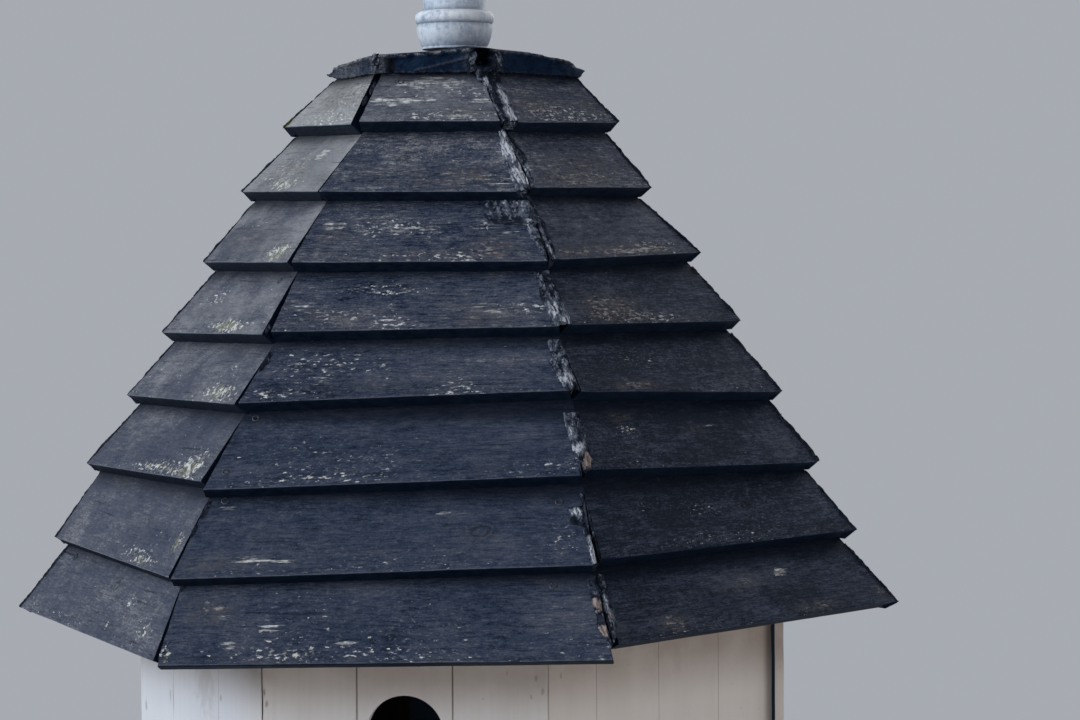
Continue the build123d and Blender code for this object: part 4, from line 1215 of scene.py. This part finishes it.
def felt_point(angle, cos, sin, share, inset, height, rim):
    """Place of a point of the felt and its levels: wrinkles, the tear, the pleat, two lips and a swooping fold."""
    def wave(fine, deep, seed):
        return ripple(cos * fine, sin * fine, deep, seed)

    degrees = math.degrees(angle)
    skirt = 1.0 if share == 1 else 0.0
    wrinkle = 1.2 * wave(5, height * 0.1, 1) + 1.1 * wave(16, height * 0.22, 2) + 0.8 * wave(44, height * 0.5, 3)
    crumpled = max(around(angle, 238, 7), around(angle, 288, 4), around(angle, 303, 4))
    wrinkle += 2.2 * crumpled * (wave(60, height * 0.35, 9) + 0.6 * wave(130, height * 0.7, 10))
    torn = around(angle, 294 + 1.5 * ripple(height * 0.3, 1.0, 2.0), 4.6) * smoothstep(3, 9, height) * skirt
    lip_right = around(angle, 359, 7) * skirt * (0.55 + 0.75 * bell((height - 8.5) / 7))
    pleat = around(angle, 246.5, 2.2) * smoothstep(17, 13, height) * skirt
    lip_left = around(angle, 181, 9) * skirt
    flap = around(angle, 242, 5) * skirt
    swoop = bell(((degrees - 262) / 32 * 11 + 3.5 - height) / 1.3) if 258 < degrees < 291 else 0.0
    out = cap_edge(angle) * share
    out += (-inset + min(1.6, wrinkle) * skirt - 14.0 * torn - 5.0 * pleat) * MM
    out += (9.5 * lip_right * smoothstep(19, 6, height) + 6.5 * lip_left * smoothstep(19, 8, height)) * MM
    out += (2.6 * swoop * skirt + 1.8 * flap * (0.6 + wave(60, height * 0.25, 5))) * MM
    z = height - cap_dip(angle) * smoothstep(0, 19, height)
    z += (0.8 * wave(7, 2.0, 5) + 0.5 * wave(24, 2.0, 6)) * smoothstep(12, 19, height) * (0.4 + 0.6 * skirt)
    z += 4.2 * lip_left * smoothstep(8, 1, height) - 1.0 * lip_right * smoothstep(7, 1, height)
    z += (0.8 * wave(34, 3.0, 7) + 0.6 * wave(80, 3.0, 8)) * skirt * smoothstep(6, 0, height)
    # Paler places, partly wear and partly painted light: the lit left facet, highlights on the crumpled corner and
    # the swooping fold
    worn = 0.9 * around(angle, 205, 22) * skirt + 1.2 * around(angle, 240, 4.5) * skirt
    worn += 0.42 * swoop * skirt
    worn += 0.22 * lip_right
    by_tear = around(angle, 288, 3.5) + around(angle, 302, 3)
    worn += 0.9 * skirt * by_tear * max(0.0, 0.5 + wave(70, height * 0.4, 12))
    # The crack level marks the tear and the pleat, which the felt paints black as shade
    levels = {
        "rim": rim * (1 - torn) * (1.0 if degrees < 290 else 0.45),
        "fade": min(1.0, worn),
        "crack": min(1.0, 1.6 * torn + pleat),
    }
    return cap_point(angle, out, min(CAP_TOP - 0.1, z)), levels


bm, layers = new_mesh("rim", "fade", "crack")
rings = []
for row in felt_rows:
    ring = []
    for angle, cos, sin in full_turn(480):
        place, levels = felt_point(angle, cos, sin, *row)
        ring.append(add_point(bm, layers, place, **levels))
    rings.append(ring)
add_tube(bm, rings)
new_object("cap_felt_sheet", bm, 50, "roof_felt", ["cap_felt"])

# Curls of torn felt and filler round the hole at the front right corner:
# angle and height where one starts and ends, width, how far it stands off, how pale
CURLS = [
    (288.5, 16.5, 286.5, -1.0, 6.5, 3.0, 0.85), (301.5, 16.0, 303.5, 6.0, 6.0, 3.4, 1.15),
    (297.0, 4.0, 291.5, -4.0, 9.0, 3.0, 0.55), (291.0, 2.0, 292.5, -9.0, 8.0, 2.0, 0.80),
    (301.0, 5.0, 297.5, -8.0, 6.5, 2.0, 0.55), (241.0, 16.5, 238.5, 1.0, 8.0, 2.6, 1.15),
]
CURL_TURN = 0.105
bm, layers = new_mesh(*LAYERS)
for number, (start, high, end, low, wide, off, pale_level) in enumerate(CURLS):
    seed = number * 4.1
    rows = []
    for j in range(29):
        t = j / 28
        row = []
        for i in range(17):
            w = i / 16 - 0.5
            taper = 0.45 + 0.55 * math.sin(math.pi * (0.1 + 0.8 * t))
            aside = w * wide * taper + 1.5 * ripple(t * 3, w * 2, seed) + 0.7 * ripple(t * 9, w * 5, seed)
            angle = math.radians(start + (end - start) * t) + aside * MM / CURL_TURN
            z = high + (low - high) * t
            z = z + 1.2 * ripple(w * 3, t * 2.5, seed, 2) + 0.7 * ripple(w * 8, t * 7, seed, 2)
            lift = off * math.cos(w * 2.6) + 1.3 * ripple(w * 3.5, t * 4, seed, 4)
            lift += 1.0 * ripple(w * 9, t * 11, seed, 6)
            slip = max(0.0, -z) * 0.95
            out = cap_edge(angle) + (lift + slip - 4.5 * smoothstep(1, -1, z)) * MM
            pale = pale_level * (0.7 + 0.6 * ripple(w * 2, t * 3, seed, 5))
            row.append(add_point(bm, layers, cap_point(angle, out, z), pale=pale))
        rows.append(row)
    filler_grid(bm, rows, wide * MM, (high - low) * MM)
new_object("cap_tear_curls", bm, 60, "mastic")

# The board under the felt, as the felt's line has it, and how far the torn corner is cut into it, in mm
BOARD_LINE = [
    (0.30, 0, 22.0), (0.90, 0, 16.5), (1, 6.5, 14.5), (1, 6.0, 13.0), (1, 6.5, 3.5), (1, 8.0, 2.5), (0.30, 0, 0.1),
]
CORNER_CUT = 24.0
bm, layers = new_mesh()
rings = []
for share, inset, height in BOARD_LINE:
    ring = []
    for angle, _, _ in full_turn(120):
        out = cap_edge(angle) * share - (inset + CORNER_CUT * around(angle, 294, 7) * (share == 1)) * MM
        z = height - cap_dip(angle) * smoothstep(0, 19, height)
        ring.append(bm.verts.new(cap_point(angle, out, z)))
    rings.append(ring)
add_tube(bm, rings + rings[:1])
# The board takes the dark look, painted shade inside the torn corner
new_object("cap_board_timber", bm, 40, "bare_timber", ["cap_board"], "dark_timber")

# Finial turned in one line: bowl, bead, neck and ball, with how strong the painted highlight on the rim is and how
# much painted shade lies in the hollow
CUP_HEIGHT = 32.5
NECK_HEIGHT = 14
NECK = 26.7
BALL = 45.0
BALL_CENTRE = CUP_HEIGHT + NECK_HEIGHT + math.sqrt(BALL**2 - NECK**2)
FINIAL_OFFSET = 0.0065
finial_line = [
    (27.6, 0, 0.1, 0.5), (27.9, 1.0, 0.3, 0.2), (27.5, 1.8, 0, 0.5), (29.4, 5.5, 0.1, 0), (30.8, 9.4, 0.45, 0),
    (31.8, 13.5, 0.50, 0), (32.2, 17.5, 0.4, 0), (32.0, 20.2, 0, 0.4), (31.6, 21.0, 0, 1), (32.2, 21.8, 0, 0.7),
    (33.2, 23.2, 0.2, 0.1), (33.6, 25.2, 0.45, 0), (33.5, 27.4, 0.8, 0), (32.7, 29.6, 1, 0), (31.2, 31.2, 1, 0),
    (29.2, 32.1, 0.6, 0), (27.6, 32.5, 0, 0.8), (26.8, 33.4, 0, 0.9), (26.5, 36.5, 0, 0.2), (26.5, 41.0, 0, 0),
    (26.6, 45.5, 0, 0.4),
]
ball_start = math.asin((BALL_CENTRE - CUP_HEIGHT - NECK_HEIGHT) / BALL)
for step in range(24):
    turn = -ball_start + (math.pi / 2 + ball_start) * step / 24
    finial_line.append((BALL * math.cos(turn), BALL_CENTRE + BALL * math.sin(turn), 0, 0.14 if step else 0.5))
bm, layers = new_mesh("rim", "hollow")
seat = CAP_FOOT + CAP_TOP * MM
rings = []
for radius, height, rim, hollow in finial_line:
    ring = []
    for angle, cos, sin in full_turn(112):
        dent = 0.25 * ripple(cos * 3, sin * 3, height * 0.08) + 0.15 * ripple(cos * 9, sin * 9, height * 0.3)
        reach = (radius + min(0.05, dent)) * MM
        place = (FINIAL_OFFSET + cos * reach, sin * reach, seat + height * MM)
        # Painted shade in the hollows and on the right side, away from the light
        dirt = min(1.0, hollow + 0.44 * around(angle, 330, 45))
        ring.append(add_point(bm, layers, place, rim=rim, hollow=dirt))
    rings.append(ring)
add_tube(bm, rings)
top = bm.verts.new((FINIAL_OFFSET, 0, seat + (BALL_CENTRE + BALL) * MM))
for a, b in zip(rings[-1], rings[-1][1:] + rings[-1][:1]):
    bm.faces.new((a, b, top))
bm.faces.new(rings[0])
new_object("finial_turning", bm, 50, "grey_paint", ["finial_cup", "finial_ball"])

# Boarded walls with arched pop holes
WALLS = ["front_left_wall", "front_wall", "front_right_wall", "back_right_wall", "back_wall", "back_left_wall"]
UPPER_HOLES = (1, 3, 5)
# How far each wall's first board starts inside its corner, and how far its last one stops short, in mm
STARTS = [4.0, 0.5, 0.2, -14.4, 0.5, 0.5]
STOPS = [1.2, 0.5, 4.7, 1.0, 1.0, 7.0]
# Thickness of the back right wall's first board where it runs past its corner
PROUD_END = 9.0 * MM
# Half the open gap between the boards of each wall in mm; the front right ones are painted shut
JOINT_GAPS = [0.05, 0.15, 0.03, 0.15, 0.15, 0.15]
# Joints of the front left wall, whose boards are wider, in mm from the left corner
WIDE_JOINTS = [84.5, 189.5]


def hole_cutter(index):
    """Round-headed prism through a wall."""
    a, b, along, out = wall_line(index)
    middle = (a + b) / 2
    top = UPPER_HOLE_TOP if index in UPPER_HOLES else UPPER_HOLE_TOP - TIER
    outline = [(-HOLE_RADIUS, top - HOLE_HEIGHT), (HOLE_RADIUS, top - HOLE_HEIGHT)]
    for step in range(33):
        angle = math.pi * step / 32
        outline.append((math.cos(angle) * HOLE_RADIUS, top - HOLE_RADIUS + math.sin(angle) * HOLE_RADIUS))
    bm, layers = new_mesh()
    rings = []
    for depth in (0.03, -0.05):
        ring = []
        for s, z in outline:
            place = (middle.x + along.x * s + out.x * depth, middle.y + along.y * s + out.y * depth, z)
            ring.append(bm.verts.new(place))
        rings.append(ring)
    bm.faces.new(rings[0])
    bm.faces.new(list(reversed(rings[1])))
    add_tube(bm, rings)
    made = bpy.data.objects.new("cutter", mesh_from("cutter", bm))
    bpy.context.collection.objects.link(made)
    return made


def board_section(left, right, index, first, last, width, turn):
    """Outline of a board in plan as distances along the wall and into it."""
    bevel = (0.3 + 4 * JOINT_GAPS[index]) * MM
    section = [(left, WALL), (left, bevel), (left + bevel, 0.0)]
    if first and left < 0:
        past = [(0.3 * MM, WALL), (-0.3 * MM, 1.2 * MM), (left + 0.3 * MM, PROUD_END), (left, PROUD_END - 0.6 * MM)]
        section[0:1] = past
    section += [(left + bevel + (right - left - 2 * bevel) * part, 0.0) for part in (0.04, 0.25, 0.5, 0.75, 0.96)]
    section.append((right - bevel, 0.0))
    if last:
        return section + [(right, 0.6 * MM), (min(right, width - WALL * math.tan(turn) - 1.4 * MM), WALL)]
    return section + [(right, bevel), (right, WALL)]


def build_wall(index):
    a, b, along, out = wall_line(index)
    turn = math.acos(max(-1, min(1, out.dot(wall_line((index + 1) % 6)[3]))))
    width = (b - a).length
    joints = [width - k * BOARD for k in (3, 2, 1) if width - k * BOARD > 5 * MM]
    if index == 0:
        joints = [j * MM for j in WIDE_JOINTS]
    joints = [STARTS[index] * MM] + joints + [width - STOPS[index] * MM]
    bm, layers = new_mesh("tone", "joint", "inner", "cool", "warm")
    levels = 60
    for board in range(len(joints) - 1):
        seed = index * 3.7 + board * 1.9 + 0.7
        tone = 0.5 + 0.5 * ripple(seed, 2.0, seed * 0.3)
        first = board == 0
        last = board == len(joints) - 2
        left = joints[board] + (0 if first else JOINT_GAPS[index] * MM)
        right = joints[board + 1] - (0 if last else JOINT_GAPS[index] * MM)
        section = board_section(left, right, index, first, last, width, turn)
        past_corner = first and left < 0
        grid = []
        for level in range(levels + 1):
            z = FLOOR_TOP + (WALL_TOP - FLOOR_TOP) * level / levels
            row = []
            for j, (s, h) in enumerate(section):
                wander = 0.0
                if (last and j >= len(section) - 3) or (first and s < left + 2 * MM):
                    wander = 0.5 * ripple(z * 30, seed, 1.0) + 0.4 * ripple(z * 110, seed, 2.0)
                    if index == 2 and last:
                        wander *= 1.8
                cup = 0.2 * ripple(s * 30, z * 6, seed) if h < WALL * 0.5 else 0.0
                place = a + along * (s + wander * MM) - out * (h - min(0.0, cup) * MM)
                proud = past_corner and j in (2, 3, 4)
                # Per point: painted shade on the inside faces and in the proud board's notch, painted blue sky light
                # on the front left wall, painted warm light on the front right wall and the proud board's end, which
                # the joint level also darkens a little
                row.append(add_point(
                    bm, layers, (place.x, place.y, z), tone=tone,
                    joint=0.38 if proud else 1.0 if 0.2 * MM < h < WALL * 0.9 else 0.0,
                    inner=1.0 if h > WALL * 0.9 or (past_corner and j == 1) else 0.0,
                    cool=1.0 - 0.7 * smoothstep(0.75, 1.0, s / width) if index == 0 else 0.0,
                    warm=1.0 if index == 2 or proud else 0.0,
                ))
            grid.append(row)
        add_tube(bm, grid)
        bm.faces.new(list(reversed(grid[0])))
        bm.faces.new(grid[-1])
    name = WALLS[index] + "_boards"
    wall = new_object(name, bm, 30, "white_paint", [WALLS[index]])
    knife = hole_cutter(index)
    cut = wall.modifiers.new("pop_hole", "BOOLEAN")
    cut.operation = "DIFFERENCE"
    cut.solver = "EXACT"
    cut.use_self = True
    cut.object = knife
    bpy.context.view_layer.update()
    graph = bpy.context.evaluated_depsgraph_get()
    carved = bpy.data.meshes.new_from_object(wall.evaluated_get(graph))
    wall.modifiers.clear()
    wall.data = carved
    bpy.data.objects.remove(knife)


for index in range(6):
    build_wall(index)

# Camera where the photograph was taken
camera = bpy.data.objects.new("camera", bpy.data.cameras.new("camera"))
bpy.context.collection.objects.link(camera)
camera.data.sensor_width = 36
camera.data.lens = 106.667
turn = Matrix.Rotation(math.radians(7.778), 4, "Z")
tip = Matrix.Rotation(math.radians(-1.611), 4, "X")
roll = Matrix.Rotation(math.radians(0.5015), 4, "Y")
stand = Matrix.Rotation(math.radians(90), 4, "X")
camera.matrix_world = Matrix.Translation((0.4443, -2.6874, 1.6184)) @ turn @ tip @ roll @ stand
bpy.context.scene.camera = camera

# Pale floor, soft sky light and a broad light from the left
floor_mesh = bpy.data.meshes.new("floor")
bm = bmesh.new()
bmesh.ops.create_grid(bm, x_segments=1, y_segments=1, size=7)
bm.to_mesh(floor_mesh)
bm.free()
floor_object = bpy.data.objects.new("floor", floor_mesh)
bpy.context.collection.objects.link(floor_object)
pale = Graph("floor")
speckle = pale.noise(pale.place(), 3.0, 4.0)
floor_mesh.materials.append(pale.finish(pale.mix(speckle, (0.50, 0.49, 0.47), (0.54, 0.53, 0.51)), 0.85))

world = bpy.data.worlds.new("world")
bpy.context.scene.world = world
world.use_nodes = True
sky = world.node_tree.nodes["Background"].inputs
sky["Color"].default_value = (0.84, 0.88, 0.96, 1)
sky["Strength"].default_value = 0.46


def area(name, place, aim, size, power, color):
    """A rectangular light that faces a point."""
    light = bpy.data.lights.new(name, "AREA")
    light.shape = "RECTANGLE"
    light.size, light.size_y = size
    light.energy = power
    light.color = color
    holder = bpy.data.objects.new(name, light)
    bpy.context.collection.objects.link(holder)
    holder.location = place
    holder.rotation_euler = (Vector(aim) - Vector(place)).to_track_quat("-Z", "Y").to_euler()


area("sky_left", (-3.4, -2.2, 3.2), (0, 0, 1.4), (2.4, 2.4), 135, (0.86, 0.93, 1.0))
area("wall_bounce", (3.2, -1.9, 0.8), (0, 0, 1.0), (2.2, 1.2), 21, (0.97, 0.91, 0.85))
area("ground_bounce", (0.3, -3.4, 0.5), (0, 0, 1.0), (3.0, 0.8), 9, (1.0, 0.92, 0.84))
area("back_fill", (1.5, 3.5, 3.5), (0, 0, 1.4), (3.0, 2.5), 45, (0.95, 0.97, 1.0))
bpy.context.scene.view_settings.view_transform = "Standard"
